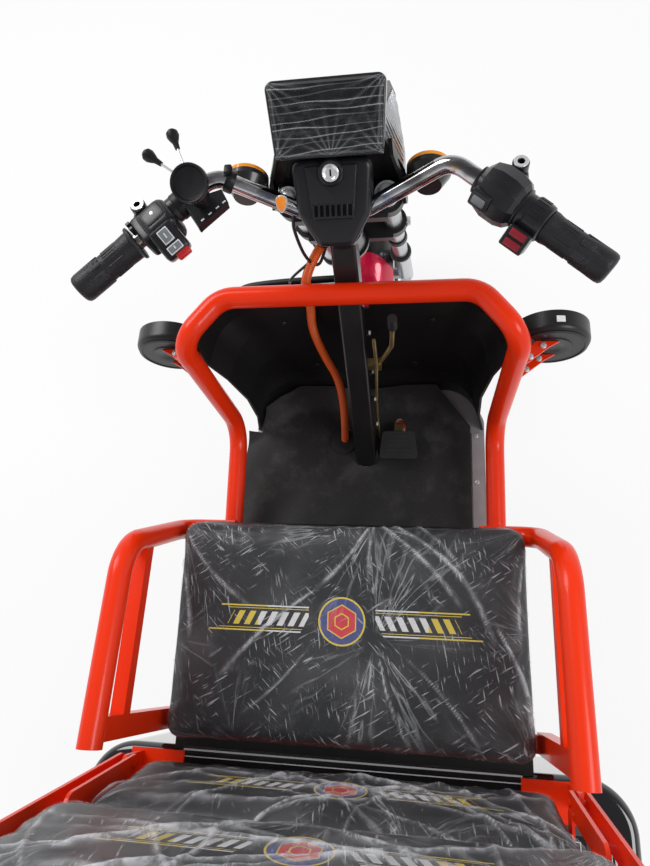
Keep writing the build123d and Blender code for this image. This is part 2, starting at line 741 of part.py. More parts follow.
with BuildPart() as leg_shield:
    add(shield_shell(toe_levels))
    add(shield_shell(bowl_levels))
    with BuildSketch(Plane.XY.offset(ledge_z - shield_wall)):
        with Locations((0, (toe_levels[1][3] + bowl_levels[0][3]) / 2 - shield_wall / 2)):
            Rectangle(2 * (toe_levels[1][1] - shield_corner), bowl_levels[0][3] - toe_levels[1][3] + shield_wall)
    extrude(amount=shield_wall)
    add(extrude(shield_level(*bowl_levels[0]), amount=-shield_wall, mode=Mode.PRIVATE))
    # the ledge runs on round both corners, narrowing to nothing at the sides
    ledge_half = toe_levels[1][1]
    ledge_inner_y = toe_levels[1][3] - shield_wall
    ledge_outer_y = bowl_levels[0][3]
    for side in (-1, 1):
        with BuildSketch(Plane.XY.offset(ledge_z - shield_wall)):
            with BuildLine():
                Polyline(
                    (side * (ledge_half - shield_corner - 2), ledge_inner_y),
                    (side * (ledge_half - shield_corner - 2), ledge_outer_y),
                    (side * (ledge_half - shield_corner + 14), ledge_outer_y - 4),
                    (side * (ledge_half - 22), ledge_outer_y - 30),
                    (side * (ledge_half - 8), ledge_outer_y - 68),
                    (side * (ledge_half - 12), ledge_outer_y - 68),
                    (side * (ledge_half - 34), ledge_outer_y - 38),
                    (side * (ledge_half - shield_corner + 8), ledge_inner_y - 1), close=True,
                )
            make_face()
        extrude(amount=shield_wall)
    with Locations((0, 500, shield_top_z - 30)):
        Box(post_width + 12, 30, 80, mode=Mode.SUBTRACT)
save(leg_shield.part, "leg_shield")

# ================================================================ floor
brake_slot = Vector(64, 392, 0)
cable_hole = Vector(-45, 369, 0)
with BuildPart() as floor_plate:
    with BuildSketch(Plane.XY.offset(rail_top + seat_gap / 3)):
        with BuildLine():
            Polyline(
                (-floor_half, floor_rear_y), (floor_half, floor_rear_y), (floor_half, floor_front_y - 74),
                (floor_half - 32, floor_front_y), (32 - floor_half, floor_front_y),
                (-floor_half, floor_front_y - 74), close=True,
            )
        make_face()
        fillet(vertices().group_by(Axis.Y)[1] + vertices().group_by(Axis.Y)[-1], 34)
    extrude(amount=floor_thickness)
    with Locations(((mat_right + floor_half) / 2, (floor_rear_y + 384) / 2, rail_top + 5.2)):
        Box(floor_half - mat_right - 5, 384 - floor_rear_y, 5)
    with BuildSketch(Plane.XY.offset(rail_top)):
        with Locations((cable_hole.X, cable_hole.Y)):
            Ellipse(17, 24)
        with Locations((brake_slot.X, brake_slot.Y)):
            SlotOverall(44, 20, rotation=90)
    extrude(amount=12, mode=Mode.SUBTRACT)
save(floor_plate.part, "floor_plate")

with BuildPart() as floor_mat:
    with BuildSketch(Plane.XY.offset(rail_top + floor_thickness + 0.2)):
        with BuildLine():
            Polyline(
                (-mat_left, floor_rear_y), (mat_right, floor_rear_y), (mat_right, 398), (136, 474),
                (-136, 474), (-204, 428), (-216, 385), (20 - mat_left, 385), close=True,
            )
        make_face()
        fillet(vertices().group_by(Axis.Y)[-1], 22)
        with Locations((cable_hole.X, cable_hole.Y)):
            Ellipse(19, 26, mode=Mode.SUBTRACT)
        with Locations((brake_slot.X, brake_slot.Y)):
            SlotOverall(48, 24, rotation=90, mode=Mode.SUBTRACT)
        with Locations((0, post_foot.Y)):
            Rectangle(post_width + 4, post_width + 12, mode=Mode.SUBTRACT)
    extrude(amount=mat_thickness)
save(floor_mat.part, "floor_mat")

# ================================================================ brake pedal and its rods
pedal_point = Vector(pedal_x, 348, rail_top + 43)
pedal_tilt = 24.0
with BuildPart() as brake_pedal:
    pedal_plane = Plane(
        origin=pedal_point, x_dir=(1, 0, 0), z_dir=(0, -sin(radians(pedal_tilt)), cos(radians(pedal_tilt)))
    )
    with BuildSketch(pedal_plane):
        Trapezoid(74, 52, 82)
        fillet(vertices(), 6)
    extrude(amount=9)
    with BuildSketch(pedal_plane.offset(9)):
        with GridLocations(0, 9, 1, 5):
            Rectangle(52, 4)
    extrude(amount=3)
save(brake_pedal.part, "brake_pedal")


def pad_under_z(y):
    """Height just below the pedal pad."""
    return pedal_point.Z + (y - pedal_point.Y) * tan(radians(pedal_tilt)) - seat_gap / cos(radians(pedal_tilt))


with BuildPart() as pedal_arm:
    with BuildSketch(Plane.YZ.offset(pedal_x - 7)):
        with BuildLine():
            Polyline(
                (336, pad_under_z(336)), (370, pad_under_z(370)), 
                (388, pedal_point.Z + 2), (400, pedal_point.Z - 18), (400, pedal_axis_z),
                (386, pedal_axis_z), (386, pedal_point.Z - 26), (374, pedal_point.Z - 10),
                (338, pedal_point.Z - 16), close=True,
            )
        make_face()
        with Locations((pedal_axis_y, pedal_axis_z)):
            Circle(8)
            Circle(4 + running_fit, mode=Mode.SUBTRACT)
    extrude(amount=14)
save(pedal_arm.part, "pedal_arm")

lever_pivot = Vector(post_width / 2 + seat_gap + 11, 431, rail_top + 223)
with BuildPart() as parking_lever:
    with Locations((lever_pivot.X, lever_pivot.Y, lever_pivot.Z)):
        Box(22, 14, 20)
    add(tube([(lever_pivot.X + 4, 431, rail_top + 221), (52, 428, rail_top + 267), (63, 426, rail_top + 299),
              (68, 426, rail_top + 363)], [40, 50], 4))
    with BuildSketch(Plane(origin=(68, 426, rail_top + 359), z_dir=(0.03, 0, 1))):
        Circle(7.5)
    extrude(amount=26)
    add(tube([(36, 427, rail_top + 317), (34, 422, rail_top + 235), (27, 398, rail_top + 135),
              (24, 379, rail_top + 45), (24, 374, rail_top + 13)], [100, 160, 80], 3))
save(parking_lever.part, "parking_lever")

# ================================================================ orange conduit
conduit_points = [
    (-34, 519, rail_top + 439), (-62, 490, rail_top + 397), (-76, 490.2, rail_top + 335),
    (-78, 484, rail_top + 261), (-66, 458, rail_top + 207), (-50, 428, rail_top + 165),
    (-47, 394, rail_top + 87), (-45, 369, rail_top + 7),
]
conduit_bends = [34, 60, 60, 50, 50, 70]
save(tube(conduit_points, conduit_bends, 7.5), "conduit")

# ================================================================ side lamps
lamp_radius = 58.0
for side, word in ((-1, "left"), (1, "right")):
    centre = Vector(side * lamp_point.X, lamp_point.Y, lamp_point.Z)
    with BuildPart() as side_lamp:
        with BuildSketch(Plane(origin=centre, x_dir=(1, 0, 0), z_dir=(0, 0, 1))):
            with BuildLine():
                Line((0, -21), (lamp_radius - 10, -21))
                ThreePointArc((lamp_radius - 10, -21), (lamp_radius - 3, -18), (lamp_radius, -11))
                Line((lamp_radius, -11), (lamp_radius, 12))
                ThreePointArc((lamp_radius, 12), (42, 17), (22, 19))
                Line((22, 19), (0, 19))
                Line((0, 19), (0, -21))
            make_face()
        revolve(axis=Axis(centre, (0, 1, 0)))
    save(side_lamp.part, f"side_lamp_{word}")

# ================================================================ driver's seat
seat_angle = degrees(atan(seat_slope))
seat_length = (seat_front_y - seat_rear_y) / cos(radians(seat_angle))


def seat_plane(depth):
    """Plane along the seat, a depth below the top of the cushion at the front."""
    return Plane(
        origin=(0, (seat_front_y + seat_rear_y) / 2,
                seat_front_z - seat_slope * (seat_front_y - seat_rear_y) / 2 - depth),
        x_dir=(1, 0, 0),
        z_dir=(0, -sin(radians(seat_angle)), cos(radians(seat_angle))),
    )


with BuildPart() as driver_cushion:
    with BuildSketch(seat_plane(cushion_thickness)):
        RectangleRounded(2 * seat_half, seat_length, 34)
    extrude(amount=cushion_thickness)
    fillet(faces().sort_by(Axis.Z)[-1].edges(), 14)
save(driver_cushion.part, "driver_cushion")

pan_half = 254.0
with BuildPart() as seat_pan:
    with BuildSketch(seat_plane(cushion_thickness + pan_thickness)):
        RectangleRounded(2 * pan_half, seat_length - 24, 26)
    extrude(amount=pan_thickness - seat_gap)
    for side in (-1, 1):
        with BuildSketch(Plane.YZ.offset(side * rail_x - 6)):
            with Locations((seat_hinge_y, seat_hinge_z)):
                Circle(8)
            with Locations((seat_hinge_y - 9, seat_hinge_z + 2)):
                Rectangle(18, 6)
        extrude(amount=12)
        with BuildSketch(Plane.YZ.offset(side * rail_x - 7)):
            with Locations((seat_hinge_y, seat_hinge_z)):
                Circle(4 + running_fit)
        extrude(amount=14, mode=Mode.SUBTRACT)
save(seat_pan.part, "seat_pan")

# ================================================================ battery box under the seat
battery_half = 168.0
battery_front_y = 94.0
battery_rear_y = -122.0
battery_floor_z = cross_top_z + seat_gap
with BuildPart() as battery_box:
    battery_middle_y = (battery_front_y + battery_rear_y) / 2
    with Locations((0, battery_middle_y, battery_floor_z)):
        Box(2 * battery_half, battery_front_y - battery_rear_y, 210,
            align=(Align.CENTER, Align.CENTER, Align.MIN))
    with Locations((0, battery_middle_y, battery_floor_z + sheet)):
        Box(2 * (battery_half - sheet), battery_front_y - battery_rear_y - 2 * sheet, 210,
            align=(Align.CENTER, Align.CENTER, Align.MIN), mode=Mode.SUBTRACT)
    cut_plane = Plane(
        origin=(0, 0, seat_line_z(0) - 12),
        x_dir=(1, 0, 0),
        z_dir=(0, -sin(radians(seat_angle)), cos(radians(seat_angle))),
    )
    split(bisect_by=cut_plane, keep=Keep.BOTTOM)
save(battery_box.part, "battery_box")

with BuildPart() as battery_pack:
    with Locations((0, battery_middle_y, battery_floor_z + sheet + seat_gap + 58)):
        Box(290, 176, 116)
save(battery_pack.part, "battery_pack")

# ================================================================ armrest hoops
hoop_corner = Vector(hoop_x, 84, hoop_top_z)
hoop_post_low = rail_top + 121
hoop_foot = Vector(hoop_x, 150, seat_hinge_z - 17)
hoop_inner = Vector(rail_x + 9 + 2.5 + seat_gap, 150, hoop_foot.Z)
for side, word in ((-1, "left"), (1, "right")):
    points = [Vector(hoop_x, hoop_rear_y, hoop_top_z + 8), hoop_corner, hoop_foot, hoop_inner]
    points = [Vector(side * point.X, point.Y, point.Z) for point in points]
    with BuildPart() as armrest:
        add(tube(points, [62, 34], hoop_radius))
        with BuildSketch(Plane(origin=points[0], z_dir=points[1] - points[0])):
            Circle(hoop_radius - 2.5)
        extrude(amount=45, mode=Mode.SUBTRACT)
        with Locations((side * hoop_x, outrigger_y, (hoop_post_low + hoop_top_z) / 2)):
            Box(20, 30, hoop_top_z - hoop_post_low)
        with Locations((side * hoop_x, (outrigger_y + 104) / 2, hoop_top_z - 65)):
            Box(20, 104 - outrigger_y, 20)
    save(armrest.part, f"armrest_{word}")

# ================================================================ rear pads
tilt = radians(pad_recline)
bar_dir = Vector(0, -sin(tilt), cos(tilt))
fold_point = Vector(0, fold_y, fold_z)
# On the side planes below, x runs forward from the pivot and y runs up along the bars.


def bar_plane(x):
    """Plane of a side bar: x forward across it, y up along it."""
    return Plane(origin=(x, fold_y, fold_z), x_dir=(0, cos(tilt), sin(tilt)), z_dir=(1, 0, 0))


def pad_block(half, low, high, front, rear, corner):
    """A padded block across the bars."""
    with BuildPart() as block:
        with BuildSketch(Plane(
            origin=fold_point + Vector(0, cos(tilt), sin(tilt)) * rear + bar_dir * ((low + high) / 2),
            x_dir=(-1, 0, 0),
            z_dir=(0, cos(tilt), sin(tilt)),
        )):
            RectangleRounded(2 * half, high - low, corner)
        extrude(amount=front - rear)
    return block.part


lower_board = (-38.0, -32.0)
upper_board = (-33.0, -27.0)
lower_pad_bottom = -25.0
save(pad_block(lower_pad_half, lower_pad_bottom, lower_pad_top, 7, lower_board[1], 18), "lower_pad")
save(pad_block(upper_pad_half, upper_pad_bottom, upper_pad_top, 17, upper_board[1], 24), "upper_pad")

inner_bar_x = lower_pad_half + 3
ear_x = inner_bar_x + bar_thickness + swing_gap
outer_bar_x = ear_x + ear_thickness + swing_gap
inner_bar_end = 172.0
outer_bar_end = 392.0


def pad_frame(half, board, low, high, bar_x, bar_end):
    """Backing board with a flat bar up each side, drilled for the pivot pin."""
    with BuildPart() as frame:
        add(pad_block(half, low, high, board[1] - seat_gap, board[0], 14))
        for side in (-1, 1):
            start_x = side * bar_x if side > 0 else side * bar_x - bar_thickness
            with BuildSketch(bar_plane(start_x)):
                with Locations((0, bar_end / 2)):
                    SlotCenterToCenter(bar_end, bar_width, rotation=90)
                Circle(fold_pin_radius + running_fit, mode=Mode.SUBTRACT)
            extrude(amount=bar_thickness)
            for tab_at in (low + 30, min(high, bar_end) - 34):
                for tab_low, tab_high, tab_front in (
                    (half - 20, bar_x + 1, board[1] - seat_gap), (half + 3 + seat_gap, bar_x + 1, -8),
                ):
                    with BuildSketch(bar_plane(min(side * tab_low, side * tab_high))):
                        with Locations(((board[0] + tab_front) / 2, tab_at)):
                            Rectangle(tab_front - board[0], 24)
                    extrude(amount=tab_high - tab_low)
    return frame.part


lower_frame = pad_frame(
    lower_pad_half - 3, lower_board, lower_pad_bottom + 5, lower_pad_top - 4, inner_bar_x, inner_bar_end
)
upper_frame = pad_frame(
    upper_pad_half - 3, upper_board, upper_pad_bottom + 4, upper_pad_top - 4, outer_bar_x, outer_bar_end
)
save(lower_frame, "lower_pad_frame")
save(upper_frame, "upper_pad_frame")

# ================================================================ cargo box
with BuildPart() as cargo_box:
    box_length = box_front_y - box_rear_y
    box_middle_y = (box_front_y + box_rear_y) / 2
    with Locations((0, box_middle_y, (box_floor_z + box_top_z) / 2)):
        Box(2 * box_half, box_length, box_top_z - box_floor_z)
    with Locations((0, box_middle_y - 10, (box_floor_z + box_top_z) / 2 + sheet)):
        Box(2 * box_half - 2 * sheet, box_length - 2 * sheet + 14, box_top_z - box_floor_z,
            mode=Mode.SUBTRACT)
    for side in (-1, 1):
        plate_low = box_half - sheet
        plate_high = outer_bar_x + bar_thickness + 4
        with Locations((side * (plate_low + plate_high) / 2, (box_front_y + fold_y + 18) / 2 - 6,
                        fender_top_z + seat_gap + 2.5)):
            Box(plate_high - plate_low, fold_y + 18 - box_front_y + 12, 5)
        ear_low = ear_x if side > 0 else -ear_x - ear_thickness
        with BuildSketch(Plane.YZ.offset(ear_low)):
            with Locations((fold_y, fold_z)):
                Circle(14)
            with Locations((fold_y, (fold_z + box_top_z) / 2 + 1)):
                Rectangle(28, fold_z - box_top_z)
        extrude(amount=ear_thickness)
        pin_low = inner_bar_x - 2
        pin_high = outer_bar_x + bar_thickness + 3
        pin_start = pin_low if side > 0 else -pin_high
        with BuildSketch(Plane.YZ.offset(pin_start)):
            with Locations((fold_y, fold_z)):
                Circle(fold_pin_radius)
        extrude(amount=pin_high - pin_low)
        for knuckle_x in (150 - 30, 150 + 30):
            with BuildSketch(Plane.YZ.offset(side * knuckle_x - 7)):
                with Locations((tailgate_axis_y, tailgate_axis_z)):
                    Circle(7)
                with Locations((tailgate_axis_y + 10, tailgate_axis_z + 2)):
                    Rectangle(20, 10)
            extrude(amount=14)
        with BuildSketch(Plane.YZ.offset(side * 150 - 36)):
            with Locations((tailgate_axis_y, tailgate_axis_z)):
                Circle(3.5)
        extrude(amount=72)
save(cargo_box.part, "cargo_box")

with BuildPart() as tailgate:
    gate_front = box_rear_y - swing_gap + 2
    gate_low = box_floor_z + 9
    gate_high = box_top_z - 2
    with Locations((0, gate_front - tailgate_thickness / 2, (gate_low + gate_high) / 2)):
        Box(2 * box_half - 10, tailgate_thickness, gate_high - gate_low)
    with Locations((0, gate_front - tailgate_thickness + 2, (gate_low + gate_high) / 2)):
        Box(2 * box_half - 70, 12, gate_high - gate_low - 60, mode=Mode.SUBTRACT)
    for side in (-1, 1):
        with BuildSketch(Plane.YZ.offset(side * 150 - 22)):
            with Locations((tailgate_axis_y, tailgate_axis_z)):
                Circle(7)
            with Locations((tailgate_axis_y + 3, tailgate_axis_z + 9)):
                Rectangle(8, 18)
        extrude(amount=44)
        with BuildSketch(Plane.YZ.offset(side * 150 - 23)):
            with Locations((tailgate_axis_y, tailgate_axis_z)):
                Circle(3.5 + running_fit)
        extrude(amount=46, mode=Mode.SUBTRACT)
save(tailgate.part, "tailgate")

# ================================================================ rear fenders
fender_inner = box_half + seat_gap
fender_rear_y = 2 * rear_axle_y - fender_front_y
arch_radius = wheel_radius + 22
for side, word in ((-1, "left"), (1, "right")):
    with BuildPart() as rear_fender:
        with BuildSketch(Plane.XY.offset(fender_low_z)):
            with BuildLine():
                Polyline(
                    (side * fender_inner, fender_front_y), (side * fender_half, fender_front_y),
                    (side * fender_half, fender_rear_y), (side * fender_inner, fender_rear_y), close=True,
                )
            make_face()
            outer_corners = vertices().group_by(Axis.X)[-1 if side > 0 else 0]
            fillet(outer_corners, fender_corner)
        extrude(amount=fender_top_z - fender_low_z)
        top_face = faces().sort_by(Axis.Z)[-1]
        outer_edges = [edge for edge in top_face.edges() if abs(edge.center().X) > fender_inner + 5]
        fillet(outer_edges, 14)
        open_faces = [faces().sort_by(Axis.Z)[0], faces().sort_by(Axis.X)[0 if side > 0 else -1]]
        offset(amount=-sheet, openings=open_faces)
        with BuildSketch(Plane.YZ.offset(side * 300)):
            with Locations((rear_axle_y, wheel_radius)):
                Circle(arch_radius)
        extrude(amount=side * 150, mode=Mode.SUBTRACT)
    save(rear_fender.part, f"rear_fender_{word}")

with BuildPart() as rear_apron:
    with Locations((0, fender_front_y - sheet / 2, (rail_top + seat_gap + fender_top_z) / 2)):
        Box(2 * box_half, sheet, fender_top_z - rail_top - seat_gap)
    with Locations((0, (fender_front_y + box_front_y + seat_gap) / 2, fender_top_z - sheet / 2)):
        Box(2 * box_half, fender_front_y - box_front_y - seat_gap, sheet)
save(rear_apron.part, "rear_apron")

with BuildPart() as tail_lamps:
    for side in (-1, 1):
        with Locations((side * 335, fender_rear_y - seat_gap - 14, fender_top_z - 78)):
            Box(100, 28, 76)
    fillet(edges().filter_by(Axis.Y), 14)
save(tail_lamps.part, "tail_lamps")

# ================================================================ rear axle and leaf springs
axle_tube_radius = 22.0
axle_end_x = rear_track_half - hub_half - seat_gap
with BuildPart() as rear_axle:
    with BuildSketch(Plane.YZ.offset(-axle_end_x)):
        with Locations((rear_axle_y, wheel_radius)):
            Circle(axle_tube_radius)
    extrude(amount=2 * axle_end_x)
    with BuildSketch(Plane.YZ.offset(-rear_track_half - hub_half - 12)):
        with Locations((rear_axle_y, wheel_radius)):
            Circle(axle_radius + 2)
    extrude(amount=2 * (rear_track_half + hub_half + 12))
    with BuildSketch(Plane.YZ.offset(-62)):
        with Locations((rear_axle_y, wheel_radius)):
            Circle(66)
    extrude(amount=72)
    with BuildSketch(Plane.YZ.offset(10)):
        with Locations((rear_axle_y, wheel_radius)):
            Circle(76)
    extrude(amount=112)
    for side in (-1, 1):
        with Locations((side * rail_x, rear_axle_y, wheel_radius + 13)):
            Box(46, 56, 22)
        with BuildSketch(Plane.YZ.offset(side * (rear_track_half + hub_half + seat_gap))):
            with Locations((rear_axle_y, wheel_radius)):
                Circle(17)
        extrude(amount=side * 10)
save(rear_axle.part, "rear_axle")

leaf_thickness = 6.0
leaf_base_z = wheel_radius + 24 + seat_gap
leaf_rise = rail_top - rail_height - leaf_base_z - 3 * leaf_thickness
with BuildPart() as leaf_springs:
    for side in (-1, 1):
        for index in range(3):
            half_span = leaf_half_span - 50 * (2 - index)
            low_z = leaf_base_z + index * leaf_thickness
            curve = (half_span / leaf_half_span) ** 2 * leaf_rise
            with BuildSketch(Plane.YZ.offset(side * rail_x - 20)):
                with BuildLine():
                    ThreePointArc(
                        (rear_axle_y - half_span, low_z + curve), (rear_axle_y, low_z),
                        (rear_axle_y + half_span, low_z + curve),
                    )
                    Line(
                        (rear_axle_y + half_span, low_z + curve),
                        (rear_axle_y + half_span, low_z + curve + leaf_thickness),
                    )
                    ThreePointArc(
                        (rear_axle_y + half_span, low_z + curve + leaf_thickness),
                        (rear_axle_y, low_z + leaf_thickness),
                        (rear_axle_y - half_span, low_z + curve + leaf_thickness),
                    )
                    Line(
                        (rear_axle_y - half_span, low_z + curve + leaf_thickness),
                        (rear_axle_y - half_span, low_z + curve),
                    )
                make_face()
            extrude(amount=40)
save(leaf_springs.part, "leaf_springs")

# ================================================================ phone holder
holder_point = Vector(-162, 478, bar_centre.Z + 109)
with BuildPart() as phone_holder:
    with BuildSketch(Plane(origin=holder_point, x_dir=(1, 0, 0), z_dir=(0, -0.55, 0.835))):
        Circle(24)
    extrude(amount=9)
    clamp_at = Vector(-end_right.X, end_right.Y, end_right.Z) + flip(along_grip) * 166
    clamp_plane = Plane(origin=clamp_at, z_dir=flip(along_grip))
    with BuildSketch(clamp_plane):
        Circle(bar_radius + 6)
        Circle(bar_radius + 0.1, mode=Mode.SUBTRACT)
    extrude(amount=14)
    add(tube([(-192, 491, holder_point.Z - 41), (-182, 487, holder_point.Z - 23),
              (-163, 480, holder_point.Z - 1)], [30], 5))
    for tip_x, tip_y in ((-206, 510), (-182, 524)):
        add(tube([(holder_point.X - 4, 482, holder_point.Z + 1),
                  ((holder_point.X + tip_x) / 2, 498, holder_point.Z + 9),
                  (tip_x, tip_y, holder_point.Z + 13)], [60], 3))
        with Locations((tip_x, tip_y, holder_point.Z + 14)):
            Box(16, 10, 10)
save(phone_holder.part, "phone_holder")
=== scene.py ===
from math import cos, pi, radians, sin

import bmesh
import bpy
import numpy as np
from mathutils import Matrix, Vector


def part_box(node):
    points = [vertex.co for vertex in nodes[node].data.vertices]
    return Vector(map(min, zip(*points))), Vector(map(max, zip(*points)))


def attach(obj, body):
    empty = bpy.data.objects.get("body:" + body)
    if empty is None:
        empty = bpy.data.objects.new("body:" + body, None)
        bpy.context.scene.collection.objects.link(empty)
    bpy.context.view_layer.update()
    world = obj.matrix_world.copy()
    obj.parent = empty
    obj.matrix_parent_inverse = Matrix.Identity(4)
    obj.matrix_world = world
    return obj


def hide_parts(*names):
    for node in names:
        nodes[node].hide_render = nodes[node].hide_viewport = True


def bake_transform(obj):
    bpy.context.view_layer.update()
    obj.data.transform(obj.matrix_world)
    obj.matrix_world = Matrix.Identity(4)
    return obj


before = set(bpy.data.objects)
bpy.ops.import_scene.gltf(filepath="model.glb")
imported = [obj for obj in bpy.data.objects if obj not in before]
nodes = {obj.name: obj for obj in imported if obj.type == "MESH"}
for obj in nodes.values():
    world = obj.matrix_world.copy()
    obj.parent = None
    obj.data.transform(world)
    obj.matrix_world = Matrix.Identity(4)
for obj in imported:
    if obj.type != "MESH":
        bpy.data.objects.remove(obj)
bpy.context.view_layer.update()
scene = bpy.context.scene

# ------------------------------------------------------------------ studio
# A pale floor under a bright, even room, and a camera held above the driver's seat,
# looking down past the handlebar. None of it belongs to the tricycle.
scene.view_settings.view_transform = "Standard"
camera_data = bpy.data.cameras.new("camera")
camera_data.lens = 27.02
camera_data.sensor_width = 36.0
camera = bpy.data.objects.new("camera", camera_data)
camera.matrix_world = Matrix((
    (0.987, 0.0000, 0.16, 0.124),
    (0.0547, 0.9397, -0.3376, -0.06),
    (-0.1504, 0.342, 0.9275, 1.533),
    (0, 0, 0, 1),
))
scene.collection.objects.link(camera)
scene.camera = camera


class Shade:
    """One output of a material's nodes; arithmetic on it adds Math nodes."""

    def __init__(self, finish, socket):
        self.finish, self.socket = finish, socket

    def math(self, operation, *values):
        slots = dict(enumerate(values))
        return self.finish.node("ShaderNodeMath", {"operation": operation}, slots)

    def __add__(self, other):
        return self.math("ADD", self, other)

    def __sub__(self, other):
        return self.math("SUBTRACT", self, other)

    def __rsub__(self, other):
        return self.math("SUBTRACT", other, self)

    def __mul__(self, other):
        return self.math("MULTIPLY", self, other)

    def __truediv__(self, other):
        return self.math("DIVIDE", self, other)

    def __pow__(self, other):
        return self.math("POWER", self, other)

    def __gt__(self, other):
        return self.math("GREATER_THAN", self, other)

    def __lt__(self, other):
        return self.math("LESS_THAN", self, other)

    def __abs__(self):
        return self.math("ABSOLUTE", self)

    __radd__ = __add__
    __rmul__ = __mul__

    def top(self, other):
        return self.math("MAXIMUM", self, other)

    def least(self, other):
        return self.math("MINIMUM", self, other)

    def wave(self):
        return self.math("SINE", self)

    def step(self, low, high):
        """0 below low, 1 above high, smooth between."""
        return self.finish.node("ShaderNodeMapRange", {"interpolation_type": "SMOOTHSTEP"},
                                {"Value": self, "From Min": low, "From Max": high})


class Finish:
    """A material: node() adds any node and gives its first output, the rest name common ones."""

    def __init__(self, name, **surface):
        self.material = bpy.data.materials.new(name)
        self.material.use_nodes = True
        self.tree = self.material.node_tree
        self.tree.nodes.clear()
        self.end = self.tree.nodes.new("ShaderNodeOutputMaterial")
        self.body = self.tree.nodes.new("ShaderNodeBsdfPrincipled")
        self.tree.links.new(self.body.outputs[0], self.end.inputs[0])
        self.set(**surface)

    def feed(self, socket, value):
        if isinstance(value, Shade):
            self.tree.links.new(value.socket, socket)
        elif isinstance(value, tuple) and len(value) == 3 and socket.type == "RGBA":
            socket.default_value = (*value, 1)
        else:
            socket.default_value = value

    def node(self, kind, settings=None, inputs=None, output=0):
        made = self.tree.nodes.new(kind)
        for key, value in (settings or {}).items():
            setattr(made, key, value)
        for key, value in (inputs or {}).items():
            self.feed(made.inputs[key], value)
        return Shade(self, made.outputs[output])

    def set(self, **surface):
        """Shader inputs by their names, with _ for a space."""
        for key, value in surface.items():
            self.feed(self.body.inputs[key.replace("_", " ")], value)
        return self

    def place(self):
        return self.node("ShaderNodeTexCoord", output=3)

    def axes(self):
        split = self.node("ShaderNodeSeparateXYZ", inputs={0: self.place()})
        return split, Shade(self, split.socket.node.outputs[1]), Shade(self, split.socket.node.outputs[2])

    def noise(self, size, detail=3.0, rough=0.5, at=None, stretch=None):
        at = at or self.place()
        if stretch:
            at = self.node("ShaderNodeVectorMath", {"operation": "MULTIPLY"}, {0: at, 1: stretch})
        return self.node("ShaderNodeTexNoise", inputs={
            "Vector": at, "Scale": 1 / size, "Detail": detail, "Roughness": rough})

    def mix(self, amount, first, second):
        return self.node("ShaderNodeMix", {"data_type": "RGBA"}, {0: amount, 6: first, 7: second}, output=2)

    def relief(self, height, depth):
        """Bump of a height from 0 to 1, depth metres deep."""
        return self.set(Normal=self.node("ShaderNodeBump", inputs={"Height": height, "Distance": depth}))


def plain_finish(name, dark, light, patch, rough, spread, grain, depth, detail=4, **surface):
    """A finish whose colour and gloss wander between two values, with a fine grain."""
    finish = Finish(name, **surface)
    cloud = finish.noise(patch, detail)
    finish.set(Base_Color=finish.mix(cloud, dark, light), Roughness=rough + spread * cloud)
    finish.relief(finish.noise(grain, 2), depth)
    return finish


floor_finish = Finish("floor_pale", Base_Color=(0.93, 0.93, 0.925), Roughness=0.9, Specular_IOR_Level=0.1)
eye = floor_finish.node("ShaderNodeLightPath")
straight = eye.top(Shade(floor_finish, eye.socket.node.outputs["Is Glossy Ray"]))
straight = straight.top(Shade(floor_finish, eye.socket.node.outputs["Is Transmission Ray"]))
glow = floor_finish.node("ShaderNodeEmission", inputs={"Color": (1, 1, 1), "Strength": 0.985})
seen = floor_finish.node("ShaderNodeMixShader", inputs={
    0: straight * 0.86, 1: Shade(floor_finish, floor_finish.body.outputs[0]), 2: glow})
floor_finish.tree.links.new(seen.socket, floor_finish.end.inputs[0])
ground = bmesh.new()
bmesh.ops.create_grid(ground, x_segments=1, y_segments=1, size=12, matrix=Matrix.Translation((0, 0, -0.002)))
ground_mesh = bpy.data.meshes.new("studio_floor")
ground.to_mesh(ground_mesh)
ground_mesh.materials.append(floor_finish.material)
floor = bpy.data.objects.new("studio_floor", ground_mesh)
scene.collection.objects.link(floor)

world = bpy.data.worlds.new("room")
world.use_nodes = True
sky = world.node_tree
sky.nodes.clear()
room = {name: sky.nodes.new(f"ShaderNode{kind}") for name, kind in (
    ("out", "OutputWorld"), ("blend", "MixShader"), ("soft", "Background"), ("seen", "Background"),
    ("rays", "LightPath"), ("either", "Math"), ("any", "Math"), ("direction", "TexCoord"), ("height", "SeparateXYZ"),
    ("bands", "ValToRGB"), ("plain", "Mix"),
)}
room["soft"].inputs["Color"].default_value = (0.97, 0.98, 1.0, 1)
room["soft"].inputs["Strength"].default_value = 0.62
room["seen"].inputs["Strength"].default_value = 1.0
room["either"].operation = room["any"].operation = "MAXIMUM"
room["plain"].data_type = "RGBA"
room["plain"].inputs[7].default_value = (1, 1, 1, 1)
ramp = room["bands"].color_ramp.elements
ramp.new(0.52)
for stop, (position, colour) in zip(ramp, (
    (0.12, (0.95, 0.95, 0.96, 1)), (0.52, (0.3, 0.3, 0.31, 1)), (1.0, (0.16, 0.16, 0.17, 1)),
)):
    stop.position, stop.color = position, colour
for giver, output, taker, entry in (
    ("rays", "Is Camera Ray", "either", 0), ("rays", "Is Glossy Ray", "either", 1), ("either", 0, "any", 0),
    ("rays", "Is Transmission Ray", "any", 1), ("direction", "Generated", "height", 0), ("height", 2, "bands", 0),
    ("rays", "Is Camera Ray", "plain", 0), ("bands", 0, "plain", 6), ("plain", 2, "seen", "Color"),
    ("any", 0, "blend", 0), ("soft", 0, "blend", 1), ("seen", 0, "blend", 2), ("blend", 0, "out", 0),
):
    sky.links.new(room[giver].outputs[output], room[taker].inputs[entry])
scene.world = world

